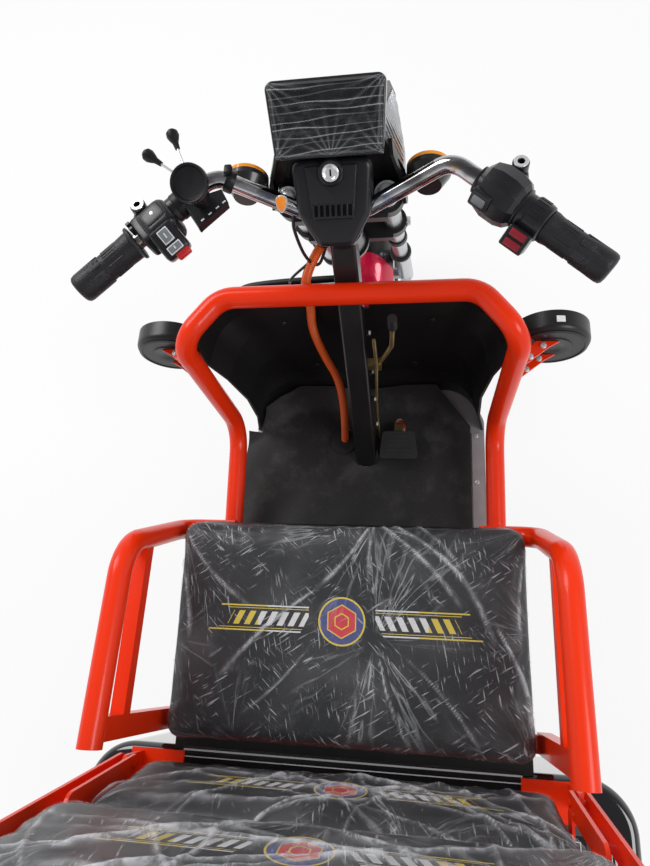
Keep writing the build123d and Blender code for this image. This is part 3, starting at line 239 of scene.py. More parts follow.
for lamp_name, spot, aim, side, watts in (
    ("soft_left", (-1.7, 1.5, 2.7), (0, 0.1, 0.5), 1.5, 46),
    ("soft_right", (2.0, -0.6, 2.6), (0, 0.0, 0.5), 1.2, 30),
):
    light = bpy.data.lights.new(lamp_name, "AREA")
    light.size = side
    light.energy = watts
    lamp = bpy.data.objects.new(lamp_name, light)
    turn = (Vector(spot) - Vector(aim)).to_track_quat("Z", "Y")
    lamp.matrix_world = Matrix.Translation(spot) @ turn.to_matrix().to_4x4()
    scene.collection.objects.link(lamp)

# ------------------------------------------------------------------ frame, loop, armrests and cargo box
# Welded steel tube and folded sheet, sprayed one glossy orange red. The load space,
# the tailgate and the backrests' boards carry the same paint.
def dress(finish, *names):
    """Give the solids of these names one finish."""
    for name in names:
        nodes[name].data.materials.clear()
        nodes[name].data.materials.append(finish.material)


frame_paint = plain_finish("frame_paint", (0.78, 0.024, 0.002), (0.88, 0.04, 0.003), 0.3,
                           0.24, 0.1, 0.0016, 0.00006, Coat_Weight=0.16, Coat_Roughness=0.06, Specular_IOR_Level=0.22)
dress(frame_paint, "main_frame", "front_loop", "armrest_left", "armrest_right", "cargo_box", "tailgate",
      "lower_pad_frame", "upper_pad_frame")

# ------------------------------------------------------------------ wheels
# Cast aluminium rims with tubeless scooter tyres. Each tyre has a smooth carcass, fine
# rings moulded on its walls, and three rows of separate blocks across the crown.
def add_piece(name, bm, body, finish, sharp=35, outward=True):
    """Close a bmesh into a piece that rides on a body."""
    bmesh.ops.remove_doubles(bm, verts=bm.verts, dist=2e-6)
    if outward:
        bmesh.ops.recalc_face_normals(bm, faces=bm.faces)
    mesh = bpy.data.meshes.new(name)
    bm.to_mesh(mesh)
    bm.free()
    mesh.polygons.foreach_set("use_smooth", [True] * len(mesh.polygons))
    mesh.set_sharp_from_angle(angle=radians(sharp))
    mesh.materials.append(finish.material)
    piece = bpy.data.objects.new(name, mesh)
    scene.collection.objects.link(piece)
    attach(piece, body)
    return piece


def block(bm, centre, size, turn=None, edge=0.002, steps=2):
    """A box with rounded edges; turn is a 3 x 3 matrix."""
    place = Matrix.Translation(centre) @ (turn or Matrix.Identity(3)).to_4x4() @ Matrix.Diagonal((*size, 1))
    made = bmesh.ops.create_cube(bm, size=1, matrix=place)["verts"]
    if edge:
        edges = list({e for v in made for e in v.link_edges})
        bmesh.ops.bevel(bm, geom=edges, offset=edge, segments=steps, profile=0.5, affect="EDGES", material=-1)


def turned(bm, profile, middle, along, steps=40):
    """A turned form: profile is pairs of radius and distance along the axis from the middle."""
    along = Vector(along).normalized()
    middle = Vector(middle)
    side = along.orthogonal().normalized()
    verts = [bm.verts.new(middle + side * r + along * d) for r, d in profile]
    edges = [bm.edges.new(pair) for pair in zip(verts, verts[1:])]
    bmesh.ops.spin(bm, geom=verts + edges, cent=middle, axis=along, angle=2 * pi, steps=steps, use_merge=True)


tyre_rubber = plain_finish("tyre_rubber", (0.01, 0.01, 0.011), (0.024, 0.024, 0.024), 0.05,
                           0.62, 0.16, 0.0012, 0.00012, Specular_IOR_Level=0.35)
rim_metal = plain_finish("rim_metal", (0.4, 0.41, 0.43), (0.52, 0.53, 0.55), 0.04,
                         0.28, 0.16, 0.0009, 0.00005, Metallic=1.0)
wheel_radius = 0.213
front_axle_y, rear_axle_y = 0.822, -0.49
tyre_profile = (
    (0.1272, 0.0268), (0.137, 0.0272), (0.14, 0.0325), (0.147, 0.0362), (0.1485, 0.0374), (0.15, 0.0366),
    (0.162, 0.0392), (0.174, 0.0397), (0.176, 0.0403), (0.178, 0.0395), (0.19, 0.0375), (0.199, 0.033),
    (0.206, 0.025), (0.2088, 0.015), (0.2098, 0.0),
)
for wheel, tyre, rim in (("front_wheel", "front_tyre", "front_rim"),
                         ("rear_wheel_left", "rear_tyre_left", "rear_rim_left"),
                         ("rear_wheel_right", "rear_tyre_right", "rear_rim_right")):
    low, high = (Vector(corner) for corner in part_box(tyre))
    middle = (low + high) / 2
    dress(rim_metal, rim)
    shape = bmesh.new()
    both = list(tyre_profile) + [(r, -d) for r, d in reversed(tyre_profile[:-1])]
    turned(shape, both + [both[0]], middle, (1, 0, 0), 96)
    block_count = 58
    for row, offset, size in ((-1, 0.5, (0.014, 0.015, 0.0046)), (0, 0.0, (0.02, 0.014, 0.0046)),
                              (1, 0.5, (0.014, 0.015, 0.0046))):
        for index in range(block_count):
            swing = 2 * pi * (index + offset) / block_count
            spin = Matrix.Rotation(swing, 3, "X") @ Matrix.Rotation(row * radians(19), 3, "Y")
            reach = 0.21 if row == 0 else 0.2045
            centre = middle + Matrix.Rotation(swing, 3, "X") @ Vector((row * 0.0212, 0, reach))
            block(shape, centre, size, spin @ Matrix.Rotation(row * 0.35, 3, "Z"), 0.0012, 1)
    piece = add_piece(f"{tyre}_treaded", shape, wheel, tyre_rubber)
    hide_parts(tyre)
    # the valve's stem and its cap
    trim = bmesh.new()
    turned(trim, ((0, 0), (0.0032, 0), (0.0032, 0.03), (0.0042, 0.03), (0.0042, 0.04), (0, 0.04)),
           middle + Vector((0.018 if middle.x >= 0 else -0.018, 0.0, -0.108)), (0.35, 0, 0.94), 12)
    add_piece(f"{wheel}_valve", trim, wheel, tyre_rubber)

# ------------------------------------------------------------------ front fork and its yokes
# Silver-painted sliders on bright stanchions, held in two cast yokes. Black rubber rings sit
# on the stanchions, and hexagonal caps with low domes close their tops.
fork_metal = plain_finish("fork_metal", (0.52, 0.53, 0.55), (0.66, 0.67, 0.69), 0.06,
                          0.26, 0.14, 0.0008, 0.00003, Metallic=0.9)
cast_metal = plain_finish("cast_black", (0.012, 0.012, 0.013), (0.022, 0.022, 0.023), 0.05,
                          0.34, 0.12, 0.001, 0.00008)
bright_metal = plain_finish("bright_steel", (0.72, 0.73, 0.74), (0.86, 0.86, 0.87), 0.03,
                            0.16, 0.12, 0.0006, 0.00002, Metallic=0.55)
dress(fork_metal, "fork_legs")
dress(cast_metal, "fork_yoke")
steer_origin = Vector((0, 0.79481, 0.20032))
steer_up = Vector((0, -0.42262, 0.90631))
steer_forward = Vector((0, 0.90631, 0.42262))
fork_half, fork_offset = 0.067, 0.03
caps = bmesh.new()
rings = bmesh.new()
for side in (-1, 1):
    leg = steer_origin + steer_forward * fork_offset + Vector((side * fork_half, 0, 0))
    turned(caps, ((0, 0.0135), (0.005, 0.0132), (0.0098, 0.011), (0.0124, 0.007), (0.0128, 0.004), (0.0164, 0.0036),
                  (0.0168, 0.0028), (0.0168, -0.0028), (0.0, -0.0028)), leg + steer_up * 0.679, steer_up, 32)
    for height, thick, radius in ((0.272, 0.007, 0.02), (0.42, 0.004, 0.0166), (0.49, 0.006, 0.0172)):
        turned(rings, ((0.0142, -thick), (radius - 0.002, -thick), (radius, -thick * 0.6), (radius, thick * 0.6),
                       (radius - 0.002, thick), (0.0142, thick), (0.0142, -thick)),
               leg + steer_up * height, steer_up, 32)
add_piece("fork_caps", caps, "steering", bright_metal)
soft_rubber = plain_finish("soft_rubber", (0.012, 0.012, 0.012), (0.026, 0.026, 0.026), 0.03,
                           0.55, 0.15, 0.001, 0.0001, Specular_IOR_Level=0.35)
add_piece("fork_rings", rings, "steering", soft_rubber)


def looking(origin, x_dir, z_dir):
    """A 4 x 4 matrix whose plane lies at origin, facing z_dir."""
    z = Vector(z_dir).normalized()
    x = (Vector(x_dir) - z * Vector(x_dir).dot(z)).normalized()
    turn = Matrix((x, z.cross(x), z)).transposed()
    return Matrix.Translation(origin) @ turn.to_4x4()


def facing(x_dir, z_dir):
    """The same as a 3 x 3 turn."""
    return looking((0, 0, 0), x_dir, z_dir).to_3x3()


def hex_bolt(bm, centre, along, across=0.01, height=0.005, washer=True):
    """A hexagon head with a chamfered crown, on a washer."""
    along = Vector(along).normalized()
    if washer:
        turned(bm, ((0, -0.0002), (across * 0.68, -0.0002), (across * 0.68, 0.0012), (0, 0.0012)), centre, along, 20)
    radius = across / 1.732
    turned(bm, ((0, 0.001), (radius, 0.001), (radius, height * 0.8), (radius * 0.86, height), (0, height)),
           centre, along, 6)


def round_screw(bm, centre, along, radius=0.005, height=0.0026):
    """A pan-head screw with a cross cut in its crown."""
    along = Vector(along).normalized()
    turned(bm, ((0, height), (radius * 0.5, height * 0.96), (radius * 0.84, height * 0.72), (radius, 0), (0, 0)),
           centre, along, 18)
    side = along.orthogonal().normalized()
    for turn in (0, pi / 2):
        across = Matrix.Rotation(turn, 3, along) @ side
        place = looking(Vector(centre) + along * height, across, along)
        block(bm, place.translation, (radius * 1.1, radius * 0.2, radius * 0.12), place.to_3x3(), 0)


yoke_bolts = bmesh.new()
for side in (-1, 1):
    for height in (0.518, 0.649):
        leg = steer_origin + steer_up * height + Vector((side * fork_half, 0, 0)) + steer_forward * fork_offset
        hex_bolt(yoke_bolts, leg + Vector((side * 0.0208, 0, 0)), (side, 0, 0), 0.012, 0.006)
for x in (-0.02, 0.02):
    for y in (-0.011, 0.011):
        hex_bolt(yoke_bolts, Vector((x, 0.512 + y, 0.8415)), (0, 0, 1), 0.009, 0.005, False)
add_piece("yoke_bolts", yoke_bolts, "steering", bright_metal)

# ------------------------------------------------------------------ front fender and its brace
# A pressed steel guard in candy crimson under clear lacquer, with a black pressed brace
# bolted behind it in the plane of the fork tubes. A near-black patch on the guard's top,
# under the brace and the yoke, is painted shade.
crimson_paint = Finish("crimson_paint", Coat_Weight=1.0, Coat_Roughness=0.03, Metallic=0.25)
cloud = crimson_paint.noise(0.1, 3)
across, along, rise = crimson_paint.axes()
round_axle = (rise - wheel_radius).math("ARCTAN2", rise - wheel_radius, along - front_axle_y)
# painted shade: a near-black patch over the guard's top under the brace and yoke, with a rougher gloss
painted_shade_patch = ((round_axle - 55.0 * across * across) < radians(114)) * (round_axle > radians(72))
candy = crimson_paint.mix(cloud, (0.62, 0.003, 0.04), (0.74, 0.007, 0.06))
crimson_paint.set(Base_Color=crimson_paint.mix(painted_shade_patch, candy, (0.008, 0.008, 0.009)),
                  Roughness=0.2 + 0.08 * cloud + 0.1 * painted_shade_patch)
crimson_paint.relief(crimson_paint.noise(0.0011, 2), 0.00002)
axle = Vector((0, front_axle_y, wheel_radius))
guard = bmesh.new()
outer = [(0.0497 * sin(a) / sin(radians(62)), 0.253 - 0.03 * (1 - cos(a)) / (1 - cos(radians(62))))
         for a in [radians(62) * k / 8 for k in range(-8, 9)]]
lip_in = [(outer[-1][0] - 0.003, outer[-1][1] - 0.001)]
inner = [(x * 0.94, r - 0.003) for x, r in reversed(outer[1:-1])]
section = outer + lip_in + inner + [(outer[0][0] + 0.003, outer[0][1] - 0.001), outer[0]]
start = radians(-62)
ray = Vector((0, -sin(start), cos(start)))
rim_verts = [guard.verts.new(axle + Vector((x, 0, 0)) + ray * r) for x, r in section[:-1]]
rim_verts.append(rim_verts[0])
rim_edges = [guard.edges.new(pair) for pair in zip(rim_verts, rim_verts[1:])]
bmesh.ops.spin(guard, geom=rim_verts[:-1] + rim_edges, cent=axle, axis=(1, 0, 0), angle=radians(150), steps=64)
ends = [e for e in guard.edges if len(e.link_faces) == 1]
bmesh.ops.holes_fill(guard, edges=ends, sides=0)
piece = add_piece("front_guard", guard, "steering", crimson_paint)
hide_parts("front_fender")
black_paint = plain_finish("black_paint", (0.008, 0.008, 0.009), (0.016, 0.016, 0.017), 0.08,
                           0.3, 0.14, 0.0013, 0.00006, Coat_Weight=0.15, Coat_Roughness=0.2)
dress(black_paint, "fender_brace")
brace_bolts = bmesh.new()
brace_foot = steer_origin + steer_forward * (fork_offset - 0.0032)
for x, height in ((-0.04, 0.47), (0.04, 0.47), (0, 0.398), (0, 0.44), (-0.01, 0.492), (0.01, 0.492)):
    round_screw(brace_bolts, brace_foot + Vector((x, 0, 0)) + steer_up * height, -steer_forward, 0.0045)
add_piece("brace_bolts", brace_bolts, "steering", bright_metal)

# ------------------------------------------------------------------ handlebar
# A swept steel bar, chromed, clamped on two risers of the upper yoke. Its colour is darkened
# by painted reflections: dark blue and brown patches, broken by brighter streaks.
chrome_with_painted_reflections = Finish("chrome_with_painted_reflections", Metallic=1.0)
reflection_streaks = chrome_with_painted_reflections.noise(0.05, 4, stretch=(1, 3, 3))
reflection_patches = chrome_with_painted_reflections.noise(0.045, 2)
# painted reflections: the chrome's colour is darkened in blue and brown patches and left brighter in streaks
painted_blue_reflection = chrome_with_painted_reflections.mix(reflection_patches.step(0.52, 0.64), (0.24, 0.22, 0.21), (0.16, 0.21, 0.33))
painted_brown_reflection = chrome_with_painted_reflections.mix((1.0 - reflection_patches).step(0.56, 0.66), painted_blue_reflection, (0.34, 0.23, 0.15))
chrome_with_painted_reflections.set(Base_Color=chrome_with_painted_reflections.mix(reflection_streaks.step(0.42, 0.62), painted_brown_reflection, (0.52, 0.52, 0.54)),
                Roughness=0.05 + 0.1 * reflection_streaks)
chrome_with_painted_reflections.relief(chrome_with_painted_reflections.noise(0.008, 3), 0.00006)
dress(chrome_with_painted_reflections, "handlebar")

# ------------------------------------------------------------------ grips
# Moulded rubber barrels with an inner flange. Long grooves run down their sides, and the
# rest of the barrel has panels of small raised pips.
bend_right = Vector((0.15, 0.527, 0.89))      # where the bar's last bend ends
end_right = Vector((0.328, 0.383, 0.857))
along_grip = (bend_right - end_right).normalized()


def on_side(side, vector):
    """A vector of the right side, mirrored where side is -1."""
    return Vector((side * vector.x, vector.y, vector.z))


grip_finishes = []
for name, dark, light, rough, spread, dots in (
    ("grip_rubber", (0.01, 0.01, 0.012), (0.02, 0.02, 0.023), 0.38, 0.14, 330.0),
    ("grip_pips", (0.012, 0.012, 0.014), (0.024, 0.024, 0.027), 0.44, 0.12, 260.0),
):
    finish = Finish(name, Specular_IOR_Level=0.35)
    cloud = finish.noise(0.02, 3)
    finish.set(Base_Color=finish.mix(cloud, dark, light), Roughness=rough + spread * cloud)
    pips = finish.node("ShaderNodeTexVoronoi", {"feature": "F1"}, {"Vector": finish.place(), "Scale": dots})
    grip_finishes.append((finish, pips))
(grip_rubber, fine_pips), (pip_rubber, wide_pips) = grip_finishes
grip_rubber.relief(fine_pips.step(0.15, 0.5), 0.00018)
pip_rubber.relief(1.0 - wide_pips.step(0.15, 0.55), 0.0007)
for side, word in ((-1, "left"), (1, "right")):
    end = on_side(side, end_right)
    inward = on_side(side, along_grip)
    shape = bmesh.new()
    line = [(0.0, 0.0), (0.011, 0.0), (0.0155, 0.001), (0.0178, 0.0034), (0.0186, 0.008), (0.0186, 0.018),
            (0.018, 0.03), (0.0172, 0.042), (0.017, 0.056), (0.0172, 0.07), (0.0178, 0.08)]
    line += [(0.0184, 0.093), (0.0225, 0.0945), (0.0236, 0.0963), (0.0232, 0.0985), (0.018, 0.0995), (0.0113, 0.0995)]
    if side > 0:
        line = line[:11] + [(0.0196, 0.0835), (0.02, 0.086), (0.02, 0.09), (0.0113, 0.09)]
    line = [(r * 1.06 if 0.012 < r < 0.0195 else r, d) for r, d in line]
    turned(shape, line, end, inward, 48)
    pads = bmesh.new()
    across = inward.cross(Vector((0, 0, 1))).normalized()
    for index in range(6):
        turn = 2 * pi * (index + 0.5) / 6
        out = Matrix.Rotation(turn, 3, inward) @ across
        at = facing(inward, out)
        block(pads, end + inward * 0.029 + out * 0.0175, (0.034, 0.012, 0.0034), at, 0.0014, 2)
        for reach in (-0.0042, 0.0, 0.0042):
            turn_more = Matrix.Rotation(reach / 0.0175, 3, inward) @ out
            block(shape, end + inward * 0.064 + turn_more * 0.0178, (0.024, 0.0018, 0.0022),
                  facing(inward, turn_more), 0.0006, 1)
    piece = add_piece(f"grip_{word}_moulded", shape, "steering", grip_rubber)
    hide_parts(f"grip_{word}")
    add_piece(f"grip_{word}_pips", pads, "steering", pip_rubber)

# ------------------------------------------------------------------ switch pods
# Clamshell housings of black plastic. The left one carries two white-edged rockers and a red
# horn button. The right one has a facetted drum, a slide, the throttle's body and, under it,
# a small box with two red rockers. Each has a threaded mirror boss with a bright ring.
pod_plastic = plain_finish("pod_plastic", (0.008, 0.008, 0.01), (0.015, 0.015, 0.018), 0.02,
                           0.22, 0.12, 0.0009, 0.00008, Specular_IOR_Level=0.42)
grey_plastic = plain_finish("grey_plastic", (0.13, 0.14, 0.15), (0.19, 0.2, 0.21), 0.01,
                            0.34, 0.1, 0.0008, 0.00006)
red_plastic = plain_finish("red_plastic", (0.44, 0.006, 0.01), (0.56, 0.01, 0.014), 0.01,
                           0.24, 0.1, 0.0008, 0.00005, Coat_Weight=0.3)
pale_plastic = plain_finish("pale_plastic", (0.52, 0.54, 0.56), (0.66, 0.67, 0.68), 0.01,
                            0.38, 0.1, 0.0008, 0.00005)
dull_red = plain_finish("dull_red", (0.17, 0.003, 0.01), (0.27, 0.005, 0.016), 0.01, 0.3, 0.1, 0.0008, 0.00005)
for side, word in ((-1, "left"), (1, "right")):
    end = on_side(side, end_right)
    inward = on_side(side, along_grip)
    up = (Vector((0, 0, 1)) - inward * inward.z).normalized()
    back = inward.cross(up) * side
    if back.y > 0:
        back = -back
    frame_of = Matrix((inward, back, up)).transposed()
    boss_place = Vector((-0.2464, 0.4823, 0.878)) if side < 0 else Vector((0.2297, 0.5117, 0.878))
    shape = bmesh.new()
    keys = bmesh.new()
    rims = bmesh.new()
    reds = bmesh.new()
    screws = bmesh.new()
    if side < 0:
        middle = end + inward * 0.134
        block(shape, middle + inward * 0.003 + back * 0.006, (0.048, 0.05, 0.048), frame_of, 0.013, 4)
        block(shape, middle - inward * 0.019 + back * 0.003, (0.018, 0.044, 0.04), frame_of, 0.006, 3)
        block(shape, middle + inward * 0.004 + up * 0.009 + back * 0.004, (0.034, 0.03, 0.034), frame_of, 0.006, 3)
        key_out = (up * 0.86 + back * 0.5).normalized()
        key_run = (back - key_out * back.dot(key_out)).normalized()
        key_place = facing(inward, key_out)
        nose = middle + back * 0.036 + up * 0.002
        block(shape, nose, (0.036, 0.042, 0.028), key_place, 0.0055, 3)
        for reach, wide, long in ((-0.006, 0.015, 0.019), (0.012, 0.02, 0.011)):
            spot = nose + key_run * reach + key_out * 0.014
            block(rims, spot + key_out * 0.0004, (wide, long, 0.003), key_place, 0.001, 2)
            block(keys, spot + key_out * 0.0013, (wide - 0.003, long - 0.003, 0.003), key_place, 0.0008, 2)
            block(rims, spot + key_out * 0.0029, (0.0016, long * 0.36, 0.0004), key_place, 0.0, 1)
        horn = nose + key_run * 0.0215 + key_out * 0.006 + inward * 0.004
        block(reds, horn, (0.02, 0.012, 0.013), key_place, 0.0026, 3)
        for reach in (-0.015, -0.006):
            block(shape, middle - inward * 0.029 + back * reach + up * 0.012, (0.006, 0.005, 0.016), frame_of, 0.001, 2)
        round_screw(screws, middle + up * 0.0262 + back * 0.004 + inward * 0.004, up, 0.003, 0.0014)
    else:
        middle = end + inward * 0.157
        drum = [(0.0113, -0.03), (0.0235, -0.03), (0.03, -0.0235), (0.0335, -0.012), (0.0335, 0.008),
                (0.029, 0.0215), (0.02, 0.0285), (0.0113, 0.0285)]
        turned(shape, drum, middle, inward, 11)
        block(shape, middle + up * 0.018 + inward * 0.002, (0.03, 0.034, 0.023), frame_of, 0.007, 3)
        slide_out = (back * 0.92 + up * 0.38).normalized()
        slide_place = facing(inward, slide_out)
        block(shape, middle + slide_out * 0.03 + inward * 0.011, (0.026, 0.022, 0.013), slide_place, 0.003, 3)
        block(keys, middle + slide_out * 0.0372 + inward * 0.011, (0.017, 0.01, 0.005), slide_place, 0.002, 2)
        body = [(0.0201, -0.066), (0.0225, -0.064), (0.0232, -0.06), (0.0232, -0.042), (0.0215, -0.04),
                (0.0215, -0.033), (0.0245, -0.031), (0.0245, -0.0295), (0.0113, -0.029)]
        turned(shape, body, middle, inward, 36)
        for index in range(7):
            turn = -0.9 + 0.3 * index
            out = Matrix.Rotation(turn, 3, inward) @ up
            block(shape, middle - inward * 0.0505 + out * 0.0232, (0.015, 0.0016, 0.0014),
                  facing(inward, out), 0.0004, 1)
        box_out = Vector((-0.3, -0.62, 0.72)).normalized()
        box_place = facing(inward, box_out)
        spot = end + inward * 0.108 + back * 0.03 - up * 0.008
        block(shape, spot, (0.03, 0.026, 0.03), box_place, 0.0022, 2)
        block(shape, spot - back * 0.01, (0.02, 0.02, 0.018), box_place, 0.0022, 2)
        for reach in (-0.0062, 0.0062):
            across_box = inward.cross(box_out).normalized()
            block(reds, spot + box_out * 0.015 + across_box * reach, (0.021, 0.0092, 0.0036), box_place, 0.0014, 2)
            block(rims, spot + box_out * 0.0146 + across_box * reach, (0.0232, 0.0112, 0.0024), box_place, 0.0008, 1)
        round_screw(screws, middle - slide_out * 0.02 + up * 0.024, up, 0.0032, 0.0014)
    turned(shape, ((0.0, -0.012), (0.0095, -0.012), (0.0102, -0.004), (0.0102, 0.018), (0.0094, 0.0194),
                   (0.0045, 0.0194), (0.0045, 0.01), (0.0, 0.01)), boss_place, (0, 0, 1), 28)
    block(shape, boss_place + Vector((0, -0.01, -0.002)), (0.021, 0.024, 0.02), None, 0.005, 3)
    turned(shape, [(0.0113, -0.002), (0.017, -0.002), (0.017, 0.005), (0.0113, 0.005), (0.0113, -0.002)],
           middle + inward * 0.0275, inward, 32)
    piece = add_piece(f"switch_pod_{word}_shell", shape, "steering", pod_plastic, 22)
    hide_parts(f"switch_pod_{word}")
    add_piece(f"switch_keys_{word}", keys, "steering", grey_plastic)
    add_piece(f"switch_rims_{word}", rims, "steering", pale_plastic if side < 0 else pod_plastic)
    add_piece(f"switch_reds_{word}", reds, "steering", red_plastic if side < 0 else dull_red)
    add_piece(f"pod_screws_{word}", screws, "steering", bright_metal)
    ring = bmesh.new()
    turned(ring, ((0.0046, 0.0196), (0.0046, 0.0208), (0.0084, 0.021), (0.009, 0.0203), (0.0088, 0.0194),
                  (0.0046, 0.0194), (0.0046, 0.0196)), boss_place, (0, 0, 1), 32)
    add_piece(f"mirror_ring_{word}", ring, "steering", bright_metal)

# ------------------------------------------------------------------ phone holder
# A folded black bracket strapped to the left of the bar. It carries a round rubber cup and
# two thin plated rods that end in soft black drops.
holder_plastic = plain_finish("holder_black", (0.006, 0.006, 0.007), (0.012, 0.012, 0.014), 0.02,
                              0.34, 0.14, 0.001, 0.00008, 3, Specular_IOR_Level=0.3)


def grow(bm, faces, shift):
    """Pull solid walls out of faces by a vector, and give the new geometry."""
    grown = bmesh.ops.extrude_face_region(bm, geom=faces, use_keep_orig=True)["geom"]
    bmesh.ops.translate(bm, verts=[item for item in grown if isinstance(item, bmesh.types.BMVert)], vec=shift)
    return grown


cup_at = Vector((-0.1595, 0.4745, 0.937))
cup_out = Vector((0, -0.55, 0.835)).normalized()
holder = bmesh.new()
turned(holder, ((0.0, 0.0038), (0.015, 0.0042), (0.0185, 0.0052), (0.0205, 0.0088), (0.0222, 0.0094), (0.0232, 0.008),
                (0.0232, 0.001), (0.0215, -0.0006), (0.008, -0.001), (0.006, -0.01), (0.0, -0.01)),
       cup_at, cup_out, 56)
top_left, top_right = Vector((-0.1882, 0.486, 0.893)), Vector((-0.1379, 0.5026, 0.893))
fold_left, fold_right = Vector((-0.165, 0.4526, 0.885)), Vector((-0.1301, 0.4887, 0.885))
low_left, low_right = fold_left + Vector((-0.001, 0.002, -0.014)), fold_right + Vector((-0.002, 0.002, -0.014))
for corners in ((top_left, fold_left, fold_right, top_right), (fold_left, low_left, low_right, fold_right),
                (top_left, Vector((-0.1882, 0.486, 0.88)), low_left, fold_left)):
    normal = (corners[1] - corners[0]).cross(corners[3] - corners[0]).normalized()
    grow(holder, [holder.faces.new([holder.verts.new(corner) for corner in corners])], normal * -0.0028)
block(holder, (-0.159, 0.481, 0.909), (0.018, 0.022, 0.034), Matrix.Rotation(0.3, 3, "X"), 0.004, 2)
bar_run = Vector((0.11, -0.015, -0.062)).normalized()
tie_at = Vector((-0.133, 0.5247, 0.8804))
turned(holder, ((0.0111, -0.006), (0.0138, -0.006), (0.0146, -0.004), (0.0146, 0.004), (0.0138, 0.006),
                (0.0111, 0.006), (0.0111, -0.006)), tie_at, bar_run, 28)
block(holder, tie_at + Vector((0.002, 0.004, 0.0165)), (0.01, 0.013, 0.008), None, 0.002, 2)
clamp_dir = on_side(-1, along_grip)
clamp_at = on_side(-1, end_right) + clamp_dir * 0.186
for start, long, size in ((-0.02, 0.014, 0.017), (0.006, 0.012, 0.0165)):
    turned(holder, [(0.0112, start), (size, start), (size + 0.001, start + 0.002), (size + 0.001, start + long - 0.002),
                    (size, start + long), (0.0112, start + long), (0.0112, start)], clamp_at, clamp_dir, 28)
block(holder, clamp_at + Vector((0.004, 0.0, 0.018)), (0.012, 0.014, 0.01), None, 0.003, 2)
rods = bmesh.new()
for tip in ((-0.1836, 0.5325, 0.95), (-0.2078, 0.5056, 0.95)):
    tip = Vector(tip)
    run = (tip - cup_at).normalized()
    turned(rods, ((0.0, 0.012), (0.0017, 0.012), (0.0017, (tip - cup_at).length), (0.0, (tip - cup_at).length)),
           cup_at, run, 14)
    turned(holder, ((0.0, -0.015), (0.003, -0.0145), (0.0038, -0.006), (0.006, -0.001), (0.0078, 0.004),
                    (0.0074, 0.0085), (0.0048, 0.0116), (0.0, 0.0126)), tip, run, 28)
piece = add_piece("phone_cradle", holder, "steering", holder_plastic, 30)
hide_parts("phone_holder")
add_piece("cradle_rods", rods, "steering", bright_metal)
holder_rivets = bmesh.new()
for share in (0.2, 0.45, 0.7, 0.92):
    spot = fold_left.lerp(fold_right, share) + Vector((-0.0022, 0.0024, 0.0012))
    block(holder_rivets, spot, (0.005, 0.0018, 0.0008), Matrix.Rotation(0.8, 3, "Z"), 0.0, 1)
add_piece("cradle_rivets", holder_rivets, "steering", pale_plastic)

# ------------------------------------------------------------------ lock cover
# A satin black moulding over the bar clamp, with wide rounded edges and chamfered lower
# corners. A raised panel holds the lock's boss, and seven fins close the vent below it.
satin_black = plain_finish("satin_black", (0.009, 0.009, 0.011), (0.016, 0.016, 0.019), 0.05,
                           0.24, 0.1, 0.0011, 0.0001, Specular_IOR_Level=0.38)
cover_top, cover_bottom = Vector((0, 0.54, 0.893)), Vector((0, 0.465, 0.813))
cover_up = (cover_top - cover_bottom).normalized()
cover_out = Vector((0, -cover_up.z, cover_up.y))
cover_middle = (cover_top + cover_bottom) / 2
cover_rise = (cover_top - cover_bottom).length / 2
cover_place = looking(cover_middle, (1, 0, 0), cover_out)


def cut_plate(bm, outline, depth, place, edge=0.0, steps=2):
    """An outline on the plane of a 4 x 4 matrix, raised along its z, with its far rim rounded."""
    face = bm.faces.new([bm.verts.new(place @ Vector((x, y, 0))) for x, y in outline])
    grown = grow(bm, [face], place.to_3x3() @ Vector((0, 0, depth)))
    if edge:
        rim = [item for item in grown if isinstance(item, bmesh.types.BMEdge)]
        bmesh.ops.bevel(bm, geom=rim, offset=edge, segments=steps, profile=0.5, affect="EDGES", material=-1)


def rounded_outline(corners, radius, steps=6):
    """Points round a polygon with its corners rounded by one radius."""
    points = []
    for index, here in enumerate(corners):
        before, after = Vector(corners[index - 1]), Vector(corners[(index + 1) % len(corners)])
        here = Vector(here)
        to_before, to_after = (before - here).normalized(), (after - here).normalized()
        half = to_before.angle(to_after) / 2
        reach = radius / np.tan(half)
        middle = here + (to_before + to_after).normalized() * (radius / sin(half))
        first, last = here + to_before * reach - middle, here + to_after * reach - middle
        sweep = first.angle_signed(last) * -1
        for k in range(steps + 1):
            turn = sweep * k / steps
            points.append((middle.x + first.x * cos(turn) - first.y * sin(turn),
                           middle.y + first.x * sin(turn) + first.y * cos(turn)))
    return points


cover = bmesh.new()
outline = rounded_outline([(-0.023, -cover_rise), (0.023, -cover_rise), (0.048, -0.014), (0.0535, cover_rise),
                           (-0.0535, cover_rise), (-0.048, -0.014)], 0.013, 5)
cut_plate(cover, outline, 0.028, Matrix.Translation(cover_out * -0.028) @ cover_place, 0.0085, 5)
outline = rounded_outline([(-0.027, -0.019), (0.027, -0.019), (0.034, 0.0475), (-0.034, 0.0475)], 0.0035, 4)
cut_plate(cover, outline, 0.005, Matrix.Translation(cover_out * -0.001) @ cover_place, 0.0022, 3)
turned(cover, ((0.0112, 0.008), (0.0142, 0.0086), (0.016, 0.0074), (0.0172, 0.004), (0.0176, 0.0), (0.0112, 0.0),
               (0.0112, 0.008)), cover_middle + cover_up * 0.0385, cover_out, 48)
for index in range(8):
    block(cover, cover_middle + Vector(((index - 3.5) * 0.0074, 0, 0)) - cover_up * 0.0075 + cover_out * 0.0044,
          (0.003, 0.0165, 0.003), cover_place.to_3x3(), 0.001, 2)
piece = add_piece("lock_cover_moulded", cover, "steering", satin_black, 40)
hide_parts("lock_cover")
